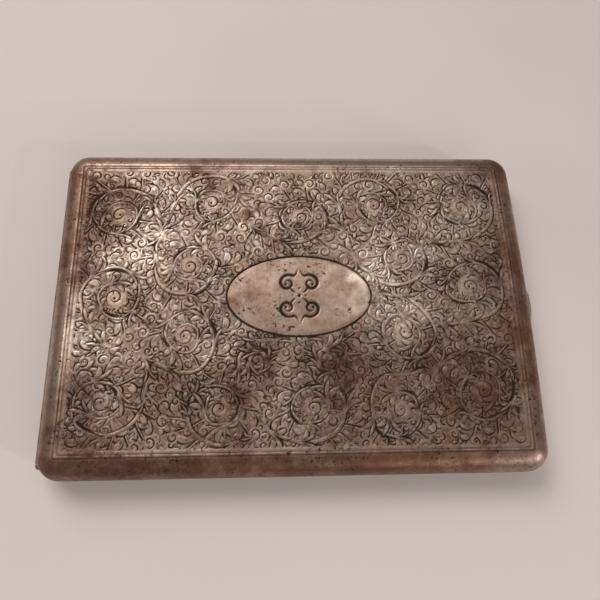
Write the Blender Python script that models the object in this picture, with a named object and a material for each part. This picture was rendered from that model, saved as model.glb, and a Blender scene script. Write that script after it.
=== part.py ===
"""A flat, hinged pocket case for business cards, made of sheet silver.

Two shallow trays meet at a seam half way up. They turn on a five-knuckle barrel
hinge along one short side, and a sprung thumb piece in the other short side keeps
them shut. Inside, an elastic strap holds the cards down in the lower tray.

Frame: X runs from the hinge to the thumb piece, Y runs along the hinge and Z is up.
The origin is the centre of the flat face that the closed case rests on.
Lengths are in metres.
"""

from math import cos, hypot, pi, radians, sin

import bmesh
import bpy
from mathutils import Vector

MM = 0.001

# Driving dimensions of the case.
CASE_LENGTH = 96.0 * MM
CASE_WIDTH = 67.2 * MM
CASE_THICKNESS = 8.8 * MM
SHEET = 0.6 * MM
EDGE_BAND = 4.0 * MM
SKIRT = 1.0 * MM
CORNER = 4.2 * MM
TIGHTEST_CORNER = 0.2 * MM
THUMB_SIDE_BOW = 0.7 * MM
SEAM_GAP = 0.06 * MM
SOLDER_GAP = 0.06 * MM

SEAM_Z = CASE_THICKNESS / 2
WALL_X = CASE_LENGTH / 2
CURVE_DEPTH = SEAM_Z - SKIRT
FLOOR_Z = SHEET
CORNER_STEPS = 8
BOW_STEPS = 8
CURVE_STEPS = 6

# The hinge: a barrel whose axis lies just outside the wall, in the seam plane.
HINGE_X = -(WALL_X + 0.05 * MM)
BARREL_RADIUS = 0.75 * MM
BARREL_BORE = 0.42 * MM
PIN_RADIUS = 0.36 * MM
BARREL_LENGTH = 61.0 * MM
KNUCKLE_COUNT = 5
KNUCKLE_GAP = 0.12 * MM
KNUCKLE_CHAMFER = 0.08 * MM
SEAT_GAP = 0.12 * MM
PLUG_LENGTH = 1.0 * MM
ROUND_STEPS = 24

# The closing rim: a strip inside the seam that lines the lid up with the base.
RIM_STRIP = 0.4 * MM
RIM_BELOW_SEAM = 0.9 * MM
RIM_ABOVE_SEAM = 0.95 * MM
RIM_INSET = SHEET + 0.08 * MM
RIM_HINGE_END_X = -40.0 * MM
RIM_CATCH_END_Y = 5.5 * MM

# The catch: a leaf spring inside the wall carries the thumb piece and the hook.
THUMB_HALF_WIDTH = 4.2 * MM
THUMB_STAND_OUT = 1.3 * MM
THUMB_SHOULDER = 0.05 * MM
THUMB_ROUNDING = 3.5
THUMB_BOTTOM_Z = SEAM_Z - 1.9 * MM
THUMB_TOP_Z = SEAM_Z - 0.15 * MM
THUMB_EDGE = 0.15 * MM
THUMB_STEPS = 12
SLOT_GAP = 0.15 * MM
LEAF_OUTER_X = WALL_X - 1.65 * MM
LEAF_THICKNESS = 0.25 * MM
LEAF_FREE_Y = -4.3 * MM
LEAF_FIXED_Y = 17.3 * MM
LEAF_BOTTOM_Z = SEAM_Z - 1.9 * MM
LEAF_TOP_Z = SEAM_Z - 0.2 * MM
BLOCK_START_Y = 12.8 * MM
BLOCK_OUTER_X = WALL_X - 1.4 * MM
RIVET_YS = (14.0 * MM, 16.1 * MM)
RIVET_SHANK = 0.35 * MM
RIVET_HEAD = 0.65 * MM
RIVET_HEAD_HEIGHT = 0.3 * MM
RIVET_HOLE = 0.41 * MM
HOOK_HALF_WIDTH = 2.0 * MM
HOOK_THICKNESS = 0.42 * MM
HOOK_BOTTOM_Z = SEAM_Z - 1.7 * MM
HOOK_NOSE_Z = SEAM_Z + 1.6 * MM
HOOK_TOP_Z = SEAM_Z + 2.3 * MM
HOOK_REACH_X = WALL_X - 1.08 * MM
HOOK_TIP = 0.15 * MM
KEEPER_HALF_WIDTH = 3.0 * MM
KEEPER_INNER_X = WALL_X - 1.45 * MM
KEEPER_OUTER_X = WALL_X - 0.7 * MM
KEEPER_BOTTOM_Z = SEAM_Z + 0.75 * MM
KEEPER_TOP_Z = SEAM_Z + 1.35 * MM
KEEPER_CHAMFER = 0.2 * MM
GUARD_X = WALL_X - 3.8 * MM
GUARD_HALF_LENGTH = 20.0 * MM
GUARD_THICKNESS = 0.3 * MM
GUARD_FOOT = 1.5 * MM
GUARD_TOP_Z = SEAM_Z + 0.8 * MM

# The strap: elastic ribbon looped round a staple at each end.
STRAP_WIDTH = 8.0 * MM
STRAP_THICKNESS = 0.5 * MM
STRAP_TAIL_Y = 25.5 * MM
BAR_Y = 30.9 * MM
BAR_Z = SEAM_Z + 0.45 * MM
BAR_RADIUS = 0.4 * MM
BAR_HALF_LENGTH = 5.6 * MM
BAR_WALL_Y = CASE_WIDTH / 2 - RIM_INSET - RIM_STRIP - SOLDER_GAP
LOOP_RADIUS = 0.75 * MM
LOOP_STEPS = 10
TAIL_DROP = 0.6 * MM

SILVER = (0.42, 0.34, 0.29, 1.0)
WORN_SILVER = (0.55, 0.46, 0.40, 1.0)
SPRING_STEEL = (0.33, 0.31, 0.30, 1.0)
RIBBON = (0.36, 0.25, 0.12, 1.0)


def clear_scene():
    """Remove whatever the file opened with."""
    for old in list(bpy.data.objects):
        bpy.data.objects.remove(old)


def surface(name, colour, roughness, metallic):
    """A Principled material of one colour."""
    material = bpy.data.materials.new(name)
    material.use_nodes = True
    shader = material.node_tree.nodes["Principled BSDF"]
    shader.inputs["Base Color"].default_value = colour
    shader.inputs["Roughness"].default_value = roughness
    shader.inputs["Metallic"].default_value = metallic
    return material


def add_object(name, bm, material, origin=(0.0, 0.0, 0.0), smooth_angle=35.0):
    """Turn a bmesh, given in world coordinates, into an object whose origin is at origin."""
    bmesh.ops.recalc_face_normals(bm, faces=bm.faces)
    bmesh.ops.translate(bm, verts=bm.verts, vec=-Vector(origin))
    mesh = bpy.data.meshes.new(name)
    bm.to_mesh(mesh)
    bm.free()
    mesh.shade_smooth()
    mesh.set_sharp_from_angle(angle=radians(smooth_angle))
    if material:
        mesh.materials.append(material)
    obj = bpy.data.objects.new(name, mesh)
    obj.location = origin
    bpy.context.scene.collection.objects.link(obj)
    return obj


def skin_rings(rings, ring_is_closed_chain=False):
    """Join rings of points, of equal length, with quads. The ends are capped, or joined to each other."""
    bm = bmesh.new()
    loops = [[bm.verts.new(point) for point in ring] for ring in rings]
    pairs = list(zip(loops, loops[1:]))
    if ring_is_closed_chain:
        pairs.append((loops[-1], loops[0]))
    else:
        bm.faces.new(loops[0])
        bm.faces.new(loops[-1])
    count = len(rings[0])
    for lower, upper in pairs:
        for i in range(count):
            j = (i + 1) % count
            bm.faces.new((lower[i], lower[j], upper[j], upper[i]))
    return bm


def prism(outline, extrusion):
    """A flat outline pushed along a vector."""
    shift = Vector(extrusion)
    start = [Vector(point) for point in outline]
    return skin_rings([start, [point + shift for point in start]])


def strip(left, right, extrusion):
    """A band between two paired paths, pushed along a vector. It may bend back on itself."""
    bm = bmesh.new()
    shift = Vector(extrusion)
    rails = []
    for path in (left, right):
        near = [Vector(point) for point in path]
        rails.append([bm.verts.new(point) for point in near])
        rails.append([bm.verts.new(point + shift) for point in near])
    left_near, left_far, right_near, right_far = rails
    for i in range(len(left) - 1):
        j = i + 1
        bm.faces.new((left_near[i], left_near[j], right_near[j], right_near[i]))
        bm.faces.new((left_far[i], left_far[j], right_far[j], right_far[i]))
        bm.faces.new((left_near[i], left_near[j], left_far[j], left_far[i]))
        bm.faces.new((right_near[i], right_near[j], right_far[j], right_far[i]))
    for i in (0, -1):
        bm.faces.new((left_near[i], left_far[i], right_far[i], right_near[i]))
    return bm


def box(low, high):
    """A block between two corners."""
    (x0, y0, z0), (x1, y1, z1) = low, high
    return prism([(x0, y0, z0), (x1, y0, z0), (x1, y1, z0), (x0, y1, z0)], (0, 0, z1 - z0))


def turned(profile, centre, axis):
    """A solid turned round the X or the Y axis. The profile lists (radius, place along the axis)."""
    rings = []
    for radius, along in profile:
        ring = []
        for step in range(ROUND_STEPS):
            angle = 2 * pi * step / ROUND_STEPS
            across, up = radius * cos(angle), radius * sin(angle)
            offset = (across, along, up) if axis == "Y" else (along, across, up)
            ring.append(Vector(centre) + Vector(offset))
        rings.append(ring)
    return rings


def cutter(name, bm):
    """A shape that only cuts others."""
    obj = add_object(name, bm, None)
    obj.hide_render = True
    obj.display_type = "WIRE"
    return obj


def cut(target, *tools):
    """Take each tool's shape out of the target."""
    for tool in tools:
        modifier = target.modifiers.new("cut_" + tool.name, "BOOLEAN")
        modifier.operation = "DIFFERENCE"
        modifier.object = tool


def bowed(x, y):
    """A point near the thumb side, moved in so that the side bows outwards at its middle."""
    return x - THUMB_SIDE_BOW * (y / (CASE_WIDTH / 2)) ** 2, y


def case_outline(inset):
    """The case's plan outline moved in by inset, anticlockwise, as a list of (x, y)."""
    points = []
    radius = max(CORNER - inset, TIGHTEST_CORNER)
    corners = ((1, -1, -90), (1, 1, 0), (-1, 1, 90), (-1, -1, 180))
    for side_x, side_y, first_angle in corners:
        centre_x = side_x * (CASE_LENGTH / 2 - inset - radius)
        centre_y = side_y * (CASE_WIDTH / 2 - inset - radius)
        for step in range(CORNER_STEPS + 1):
            angle = radians(first_angle + 90 * step / CORNER_STEPS)
            x, y = centre_x + radius * cos(angle), centre_y + radius * sin(angle)
            points.append(bowed(x, y) if side_x > 0 else (x, y))
        if first_angle == -90:
            for step in range(1, BOW_STEPS):
                y = centre_y * (1 - 2 * step / BOW_STEPS)
                points.append(bowed(centre_x + radius, y))
    return points


def tray_profile(sheet):
    """(inset, depth) pairs from the flat face to the rim, for a surface sheet inside the outer one."""
    pairs = []
    for step in range(CURVE_STEPS + 1):
        angle = pi / 2 * step / CURVE_STEPS
        inset = EDGE_BAND - (EDGE_BAND - sheet) * sin(angle)
        depth = sheet + (CURVE_DEPTH - sheet) * (1 - cos(angle))
        pairs.append((inset, depth))
    pairs.append((sheet, SEAM_Z - SEAM_GAP / 2))
    return pairs


def tray(name, material, face_z, towards_seam, origin):
    """A shallow tray with rounded edges, whose flat face lies at face_z."""
    profile = tray_profile(0.0) + tray_profile(SHEET)[::-1]
    rings = []
    for inset, depth in profile:
        z = face_z + towards_seam * depth
        rings.append([(x, y, z) for x, y in case_outline(inset)])
    return add_object(name, skin_rings(rings), material, origin)


def build_shells(silver, hinge_origin):
    """The base and the lid, cut away for the hinge barrel and the thumb piece."""
    seat_radius = BARREL_RADIUS + SEAT_GAP
    seat_half = BARREL_LENGTH / 2 + PLUG_LENGTH + SEAT_GAP
    seat_rings = turned([(seat_radius, -seat_half), (seat_radius, seat_half)], hinge_origin, "Y")
    seat = cutter("hinge_seat_cutter", skin_rings(seat_rings))
    slot = cutter(
        "thumb_slot_cutter",
        box(
            (WALL_X - 2 * SHEET, -THUMB_HALF_WIDTH - SLOT_GAP, THUMB_BOTTOM_Z - SLOT_GAP),
            (WALL_X + SHEET, THUMB_HALF_WIDTH + SLOT_GAP, SEAM_Z + SHEET),
        ),
    )
    base = tray("base_shell", silver, 0.0, 1, (0, 0, 0))
    cut(base, seat, slot)
    lid = tray("lid_shell", silver, CASE_THICKNESS, -1, hinge_origin)
    cut(lid, seat)
    return base, lid


def rim_path(inset, side_y):
    """One L of the closing rim: along a long side, round the corner, up to the catch."""
    half_y = CASE_WIDTH / 2 - inset
    radius = CORNER - inset
    centre_x = CASE_LENGTH / 2 - CORNER
    centre_y = CASE_WIDTH / 2 - CORNER
    path = [(RIM_HINGE_END_X, side_y * half_y)]
    for step in range(CORNER_STEPS + 1):
        angle = pi / 2 - pi / 2 * step / CORNER_STEPS
        x = centre_x + radius * cos(angle)
        y = centre_y + radius * sin(angle)
        path.append(bowed(x, side_y * y))
    for step in range(1, BOW_STEPS + 1):
        y = centre_y + (RIM_CATCH_END_Y - centre_y) * step / BOW_STEPS
        path.append(bowed(CASE_LENGTH / 2 - inset, side_y * y))
    return [(x, y, SEAM_Z - RIM_BELOW_SEAM) for x, y in path]


def build_closing_rim(silver, base):
    """Two L-shaped strips that stand up inside the seam."""
    for name, side_y in (("closing_rim_front", -1), ("closing_rim_rear", 1)):
        outer = rim_path(RIM_INSET, side_y)
        inner = rim_path(RIM_INSET + RIM_STRIP, side_y)
        bm = strip(outer, inner, (0, 0, RIM_BELOW_SEAM + RIM_ABOVE_SEAM))
        add_object(name, bm, silver).parent = base


def build_hinge(silver, steel, base, lid_turn):
    """Knuckles that alternate between base and lid, the pin through them and a plug at each end."""
    pitch = BARREL_LENGTH / KNUCKLE_COUNT
    names = (
        "base_knuckle_front",
        "lid_knuckle_front",
        "base_knuckle_middle",
        "lid_knuckle_rear",
        "base_knuckle_rear",
    )
    axis_point = (HINGE_X, 0, SEAM_Z)
    for i, name in enumerate(names):
        start = -BARREL_LENGTH / 2 + i * pitch + KNUCKLE_GAP / 2
        end = start + pitch - KNUCKLE_GAP
        edge = BARREL_RADIUS - KNUCKLE_CHAMFER
        profile = [
            (BARREL_BORE, start),
            (edge, start),
            (BARREL_RADIUS, start + KNUCKLE_CHAMFER),
            (BARREL_RADIUS, end - KNUCKLE_CHAMFER),
            (edge, end),
            (BARREL_BORE, end),
        ]
        rings = turned(profile, axis_point, "Y")
        knuckle = add_object(name, skin_rings(rings, True), silver, axis_point)
        attach(knuckle, lid_turn if name.startswith("lid") else base)

    half_pin = BARREL_LENGTH / 2
    rings = turned([(PIN_RADIUS, -half_pin), (PIN_RADIUS, half_pin)], axis_point, "Y")
    attach(add_object("hinge_pin", skin_rings(rings), steel, axis_point), base)

    for name, side in (("hinge_plug_front", -1), ("hinge_plug_rear", 1)):
        profile = []
        for step in range(CURVE_STEPS):
            angle = pi / 2 * step / CURVE_STEPS
            along = half_pin + SOLDER_GAP + PLUG_LENGTH * sin(angle)
            profile.append((BARREL_RADIUS * cos(angle), side * along))
        rings = turned(profile, axis_point, "Y")
        attach(add_object(name, skin_rings(rings), silver, axis_point), base)


def attach(obj, parent):
    """Parent an object without moving it."""
    bpy.context.view_layer.update()
    obj.parent = parent
    obj.matrix_parent_inverse = parent.matrix_world.inverted()


def thumb_outline():
    """Plan of the thumb piece: straight inner face, swelling outer face."""
    inner_x = LEAF_OUTER_X + SOLDER_GAP
    points = [(inner_x, THUMB_HALF_WIDTH), (inner_x, -THUMB_HALF_WIDTH)]
    for step in range(THUMB_STEPS + 1):
        share = 2 * step / THUMB_STEPS - 1
        swell = THUMB_STAND_OUT * (1 - abs(share) ** THUMB_ROUNDING)
        points.append((WALL_X + THUMB_SHOULDER + swell, share * THUMB_HALF_WIDTH))
    return [(x, y, THUMB_BOTTOM_Z) for x, y in points]


def build_catch(silver, steel, base, catch, lid_turn):
    """The thumb piece, its leaf spring and rivets, the hook, the keeper in the lid and the guard."""
    thumb = add_object("thumb_piece", prism(thumb_outline(), (0, 0, THUMB_TOP_Z - THUMB_BOTTOM_Z)), silver)
    rounding = thumb.modifiers.new("rounded_edges", "BEVEL")
    rounding.width = THUMB_EDGE
    rounding.segments = 2
    rounding.limit_method = "ANGLE"
    rounding.angle_limit = radians(60)
    attach(thumb, catch)

    leaf_inner_x = LEAF_OUTER_X - LEAF_THICKNESS
    leaf_low = (leaf_inner_x, LEAF_FREE_Y, LEAF_BOTTOM_Z)
    leaf_high = (LEAF_OUTER_X, LEAF_FIXED_Y, LEAF_TOP_Z)
    leaf = add_object("catch_spring", box(leaf_low, leaf_high), steel)
    attach(leaf, base)
    block_low = (LEAF_OUTER_X + SOLDER_GAP, BLOCK_START_Y, LEAF_BOTTOM_Z)
    block_high = (BLOCK_OUTER_X, LEAF_FIXED_Y, LEAF_TOP_Z)
    block = add_object("catch_spring_block", box(block_low, block_high), silver)
    attach(block, base)

    rivet_z = (LEAF_BOTTOM_Z + LEAF_TOP_Z) / 2
    head_x = leaf_inner_x - SOLDER_GAP
    shank_end = BLOCK_OUTER_X
    for name, rivet_y in zip(("catch_spring_rivet_inner", "catch_spring_rivet_outer"), RIVET_YS):
        centre = (0, rivet_y, rivet_z)
        hole = turned([(RIVET_HOLE, head_x - SHEET), (RIVET_HOLE, shank_end + SHEET)], centre, "X")
        drill = cutter(name + "_drill", skin_rings(hole))
        cut(leaf, drill)
        cut(block, drill)
        profile = [
            (RIVET_HEAD / 2, head_x - RIVET_HEAD_HEIGHT),
            (RIVET_HEAD, head_x - RIVET_HEAD_HEIGHT / 3),
            (RIVET_HEAD, head_x),
            (RIVET_SHANK, head_x),
            (RIVET_SHANK, shank_end),
        ]
        attach(add_object(name, skin_rings(turned(profile, centre, "X")), silver), base)

    hook_outer = leaf_inner_x - SOLDER_GAP
    hook_inner = hook_outer - HOOK_THICKNESS
    hook_profile = [
        (hook_inner, HOOK_BOTTOM_Z),
        (hook_outer, HOOK_BOTTOM_Z),
        (hook_outer, HOOK_NOSE_Z),
        (HOOK_REACH_X, HOOK_NOSE_Z),
        (HOOK_REACH_X, HOOK_NOSE_Z + HOOK_TIP),
        (hook_outer, HOOK_TOP_Z),
        (hook_inner, HOOK_TOP_Z),
    ]
    outline = [(x, -HOOK_HALF_WIDTH, z) for x, z in hook_profile]
    attach(add_object("catch_hook", prism(outline, (0, 2 * HOOK_HALF_WIDTH, 0)), steel), catch)

    keeper_profile = [
        (KEEPER_INNER_X + KEEPER_CHAMFER, KEEPER_BOTTOM_Z),
        (KEEPER_OUTER_X, KEEPER_BOTTOM_Z),
        (KEEPER_OUTER_X, KEEPER_TOP_Z),
        (KEEPER_INNER_X, KEEPER_TOP_Z),
        (KEEPER_INNER_X, KEEPER_BOTTOM_Z + KEEPER_CHAMFER),
    ]
    outline = [(x, -KEEPER_HALF_WIDTH, z) for x, z in keeper_profile]
    attach(add_object("keeper_bar", prism(outline, (0, 2 * KEEPER_HALF_WIDTH, 0)), silver), lid_turn)

    floor = FLOOR_Z + SOLDER_GAP
    guard_profile = [
        (GUARD_X - GUARD_FOOT, floor),
        (GUARD_X, floor),
        (GUARD_X, GUARD_TOP_Z),
        (GUARD_X - GUARD_THICKNESS, GUARD_TOP_Z),
        (GUARD_X - GUARD_THICKNESS, floor + GUARD_THICKNESS),
        (GUARD_X - GUARD_FOOT, floor + GUARD_THICKNESS),
    ]
    outline = [(x, -GUARD_HALF_LENGTH, z) for x, z in guard_profile]
    attach(add_object("catch_guard", prism(outline, (0, 2 * GUARD_HALF_LENGTH, 0)), silver), base)


def strap_centre_line():
    """The strap's middle in the YZ plane: a tail, a loop, the long run, a loop and a tail."""
    run_z = BAR_Z + LOOP_RADIUS
    half = [
        (STRAP_TAIL_Y, run_z - TAIL_DROP),
        (BAR_Y - 3.2 * LOOP_RADIUS, run_z - TAIL_DROP),
        (BAR_Y - 1.9 * LOOP_RADIUS, BAR_Z - 0.35 * LOOP_RADIUS),
        (BAR_Y - 0.9 * LOOP_RADIUS, BAR_Z - 0.88 * LOOP_RADIUS),
    ]
    for step in range(LOOP_STEPS + 1):
        angle = -pi / 2 + pi * step / LOOP_STEPS
        half.append((BAR_Y + LOOP_RADIUS * cos(angle), BAR_Z + LOOP_RADIUS * sin(angle)))
    return half + [(-y, z) for y, z in reversed(half)]


def offset_path(path, distance):
    """A path in the YZ plane moved sideways by distance, at the left edge of the strap's width."""
    moved = []
    for i, (y, z) in enumerate(path):
        before = path[max(i - 1, 0)]
        after = path[min(i + 1, len(path) - 1)]
        along_y, along_z = after[0] - before[0], after[1] - before[1]
        length = hypot(along_y, along_z)
        new_y = y - along_z / length * distance
        new_z = z + along_y / length * distance
        moved.append((-STRAP_WIDTH / 2, new_y, new_z))
    return moved


def build_strap(ribbon, silver, base):
    """The elastic strap and the wire staple at each of its ends."""
    path = strap_centre_line()
    half = STRAP_THICKNESS / 2
    bm = strip(offset_path(path, half), offset_path(path, -half), (STRAP_WIDTH, 0, 0))
    attach(add_object("strap", bm, ribbon), base)

    for name, side in (("strap_staple_front", -1), ("strap_staple_rear", 1)):
        curve = bpy.data.curves.new(name, "CURVE")
        curve.dimensions = "3D"
        curve.bevel_depth = BAR_RADIUS
        curve.bevel_resolution = 3
        curve.use_fill_caps = True
        spline = curve.splines.new("POLY")
        bend = 2 * BAR_RADIUS
        outline = [
            (-BAR_HALF_LENGTH, BAR_WALL_Y),
            (-BAR_HALF_LENGTH, BAR_Y + bend),
            (-BAR_HALF_LENGTH + 0.3 * bend, BAR_Y + 0.3 * bend),
            (-BAR_HALF_LENGTH + bend, BAR_Y),
        ]
        outline += [(-x, y) for x, y in reversed(outline)]
        spline.points.add(len(outline) - 1)
        for point, (x, y) in zip(spline.points, outline):
            point.co = (x, side * y, BAR_Z, 1.0)
        staple = bpy.data.objects.new(name, curve)
        curve.materials.append(silver)
        bpy.context.scene.collection.objects.link(staple)
        attach(staple, base)


def main():
    clear_scene()
    silver = surface("engraved_silver", SILVER, 0.38, 1.0)
    bright = surface("worn_silver", WORN_SILVER, 0.3, 1.0)
    steel = surface("spring_steel", SPRING_STEEL, 0.35, 1.0)
    ribbon = surface("elastic_ribbon", RIBBON, 0.85, 0.0)

    hinge_origin = (HINGE_X, 0, SEAM_Z)
    base, lid = build_shells(silver, hinge_origin)
    catch = bpy.data.objects.new("catch_slide", None)
    catch.location = (WALL_X, 0, (THUMB_BOTTOM_Z + THUMB_TOP_Z) / 2)
    bpy.context.scene.collection.objects.link(catch)
    attach(catch, base)

    build_closing_rim(bright, base)
    build_hinge(silver, steel, base, lid)
    build_catch(bright, steel, base, catch, lid)
    build_strap(ribbon, bright, base)


main()
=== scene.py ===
"""The looks of an engraved silver business card case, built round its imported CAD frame.

The two trays are rebuilt as fine meshes whose scrollwork is cut into the surface, and the
barrel hinge, catch and strap get finer pieces on the same bodies. Lengths are in millimetres
until a mesh is made, in the CAD's own frame: X from the hinge to the thumb piece, Y along
the hinge, Z up.
"""

from itertools import product
from math import atan2, cos, hypot, pi, radians, sin, sqrt

import bmesh
import bpy
import numpy as np
from mathutils import Matrix, Vector


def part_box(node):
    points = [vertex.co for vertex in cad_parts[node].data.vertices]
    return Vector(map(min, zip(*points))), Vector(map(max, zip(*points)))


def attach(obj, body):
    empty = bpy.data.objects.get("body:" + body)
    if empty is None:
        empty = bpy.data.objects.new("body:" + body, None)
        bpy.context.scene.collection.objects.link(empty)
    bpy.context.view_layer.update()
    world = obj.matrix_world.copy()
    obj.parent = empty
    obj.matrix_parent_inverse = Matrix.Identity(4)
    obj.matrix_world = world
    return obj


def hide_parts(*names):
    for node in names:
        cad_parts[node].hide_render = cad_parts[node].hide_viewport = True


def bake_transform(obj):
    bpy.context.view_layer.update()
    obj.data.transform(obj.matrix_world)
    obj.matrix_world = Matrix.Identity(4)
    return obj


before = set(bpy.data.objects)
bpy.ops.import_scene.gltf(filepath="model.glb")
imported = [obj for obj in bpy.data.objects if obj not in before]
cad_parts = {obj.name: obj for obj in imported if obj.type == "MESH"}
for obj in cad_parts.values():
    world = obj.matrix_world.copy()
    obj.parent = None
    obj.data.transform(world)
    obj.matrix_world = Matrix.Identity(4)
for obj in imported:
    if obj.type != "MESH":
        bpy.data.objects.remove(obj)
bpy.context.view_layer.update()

MM = 0.001

# ------------------------------------------------------------------ sizes

base_low, base_high = (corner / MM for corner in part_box("base_shell"))
lid_low, lid_high = (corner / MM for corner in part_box("lid_shell"))
WALL_X = base_high.x
WALL_Y = base_high.y
TOP_Z = lid_high.z
RIM_DEPTH = base_high.z
SEAM_Z = (base_high.z + lid_low.z) / 2

# How the sheet metal is shaped, as in the CAD.
SHEET = 0.6
EDGE_BAND = 4.0
CURVE_DEPTH = 3.4
CORNER = 4.2
THUMB_SIDE_BOW = 0.7
PLATE_X = WALL_X - EDGE_BAND
PLATE_Y = WALL_Y - EDGE_BAND

# The hinge's barrel and pin, and the room that the trays' rims leave for them.
HINGE_X = -48.05
HINGE_AXIS = (HINGE_X, 0, SEAM_Z)
BARREL_RADIUS = 0.75
BARREL_BORE = 0.42
PIN_RADIUS = 0.36
SOLDER = 0.13
SEAT_RADIUS = 0.87
SEAT_HALF_LENGTH = 31.62

# The catch: the base's slot, the thumb piece, and the leaf spring's outer face.
SLOT_HALF_WIDTH = 4.35
SLOT_BOTTOM_Z = 2.35
THUMB_SHOULDER = 0.05
THUMB_STAND_OUT = 1.3
SPRING_X = WALL_X - 1.96

# The strap, and the wire bar and loop at each of its ends.
STRAP_HALF_WIDTH = 4.0
STRAP_HALF_THICKNESS = 0.25
STRAP_CORDS = 13
BAR_Y = 30.9
BAR_Z = 4.85
LOOP_RADIUS = 0.75
WIRE_RADIUS = 0.4

# The engraving: its grid, the cartouche, and how the scrolls wind in to their eyes.
PITCH = 0.1
OVAL = ((0.55, 0.7), (14.4, 8.4))
FIELD_MARGIN = 1.6
PUNCH_SPACING = 0.42
SMALLEST_GAP = 0.32
TURNS = 1.9
EYE = 0.24


# ------------------------------------------------------------------ paths

def direction(angle):
    """The unit step along an angle."""
    return np.array((cos(angle), sin(angle)))


def spiral(centre, outer, inner, start, turns, uneven=0.0):
    """A logarithmic spiral from the outer radius to the inner one. Turns are signed."""
    share = np.linspace(0, 1, max(12, int(48 * abs(turns))))
    radius = outer * (inner / outer) ** share
    angle = start + 2 * pi * turns * share
    radius = radius * (1 + uneven * np.cos(2 * angle + centre[0] + centre[1]))
    return np.stack((centre[0] + radius * np.cos(angle), centre[1] + radius * np.sin(angle)), 1)


def sweep(start, heading, length, bend, steps=24, late=1.0):
    """A path that sets off along heading and turns by bend in all, evenly or later on."""
    angles = heading + bend * np.linspace(0, 1, steps) ** late
    moves = np.stack((np.cos(angles), np.sin(angles)), 1)[:-1] * length / (steps - 1)
    return np.vstack((start, np.asarray(start) + np.cumsum(moves, 0)))


def flowing(start, leave, end, arrive, steps=40):
    """A Hermite curve between two points, with the directions it leaves and arrives in."""
    t = np.linspace(0, 1, steps)[:, None]
    a, b = np.asarray(start, float), np.asarray(end, float)
    pull = np.linalg.norm(b - a) * 1.1
    va, vb = direction(leave) * pull, direction(arrive) * pull
    return (
        (2 * t**3 - 3 * t**2 + 1) * a
        + (t**3 - 2 * t**2 + t) * va
        + (3 * t**2 - 2 * t**3) * b
        + (t**3 - t**2) * vb
    )


def arc(centre, radius, first, last, count):
    """Points along an arc, between two angles in degrees."""
    angles = np.radians(np.linspace(first, last, count))
    return [(centre[0] + radius * cos(a), centre[1] + radius * sin(a)) for a in angles]


def beside(path, distance):
    """The path moved to its left by a distance, or by one distance for each point."""
    along = np.gradient(path, axis=0)
    along /= np.linalg.norm(along, axis=1)[:, None] + 1e-9
    left = np.stack((-along[:, 1], along[:, 0]), 1)
    return path + left * np.broadcast_to(distance, len(path))[:, None]


def distances(path):
    """How far along the path each of its points lies."""
    gaps = np.linalg.norm(np.diff(path, axis=0), axis=1)
    return np.concatenate(((0,), np.cumsum(gaps)))


def heading_at(path, k):
    """The angle of the path's direction at its point k."""
    x, y = np.gradient(path, axis=0)[k]
    return atan2(y, x)


def towards(offset):
    """The angle in which an offset points."""
    return atan2(offset[1], offset[0])


def touching(centre, radius, point, hand, least):
    """Where a line from the point meets a circle so as to wind round it, as an angle."""
    gap = np.asarray(point) - centre
    return towards(gap) + hand * np.arccos(radius / max(np.linalg.norm(gap), radius * least))


def evenly(path, values, step):
    """The path and its per-point values, resampled to an even step."""
    run = distances(path)
    count = max(2, int(run[-1] / step) + 1)
    where = np.linspace(0, run[-1], count)
    columns = [np.interp(where, run, column) for column in (*path.T, *values)]
    return np.array(columns)


# ------------------------------------------------------------------ the drawing

class Sheet:
    """Shapes drawn one over another: raised ground, and the lines cut round and into it."""

    def __init__(self):
        self.raised = []
        self.lines = []
        self.order = 0

    def begin(self):
        """Start a new shape, which covers the ones before it."""
        self.order += 1

    def add(self, store, dabs):
        store.append(np.vstack((dabs, np.full(dabs.shape[1], self.order))))

    def raise_path(self, path, half_width):
        widths = np.broadcast_to(half_width, len(path))
        self.add(self.raised, evenly(path, (widths, np.ones(len(path))), 0.10))

    def raise_dot(self, centre, radius):
        self.add(self.raised, np.array([[centre[0]], [centre[1]], [radius], [1.0]]))

    def cut(self, path, width, depth, swell=0.5, fade=(0.0, 0.0)):
        """A graver's line, widest and deepest at the share swell of its length."""
        t = np.linspace(0, 1, len(path))
        rising, falling = t / max(swell, 1e-3), (1 - t) / max(1 - swell, 1e-3)
        shape = np.where(t < swell, rising, falling)
        ends = np.where(t < swell, fade[0], fade[1])
        shape = ends + (1 - ends) * np.sin(shape * pi / 2)
        self.add(self.lines, evenly(path, (shape * width / 2 + 0.03, shape * depth), 0.05))

    def cut_evenly(self, path, width, depth):
        self.cut(path, width, depth, 0.5, (1.0, 1.0))

    def dot(self, centre, radius, depth):
        self.add(self.lines, np.array([[centre[0]], [centre[1]], [radius], [depth]]))

    def lay_over(self, other):
        """Put another sheet's shapes on top of these."""
        for mine, theirs in ((self.raised, other.raised), (self.lines, other.lines)):
            for dabs in theirs:
                dabs = dabs.copy()
                dabs[4] += self.order
                mine.append(dabs)
        self.order += other.order + 1


def unsteady(x, y):
    """The points moved a little, as a hand that drew them would."""
    off_x = 0.25 * np.sin(0.21 * x + 0.37 * y) + 0.08 * np.sin(0.73 * y - 0.51 * x + 1)
    off_y = 0.25 * np.sin(0.33 * x - 0.16 * y + 2) + 0.08 * np.sin(0.68 * x + 0.47 * y + 4)
    return x + off_x, y + off_y


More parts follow.
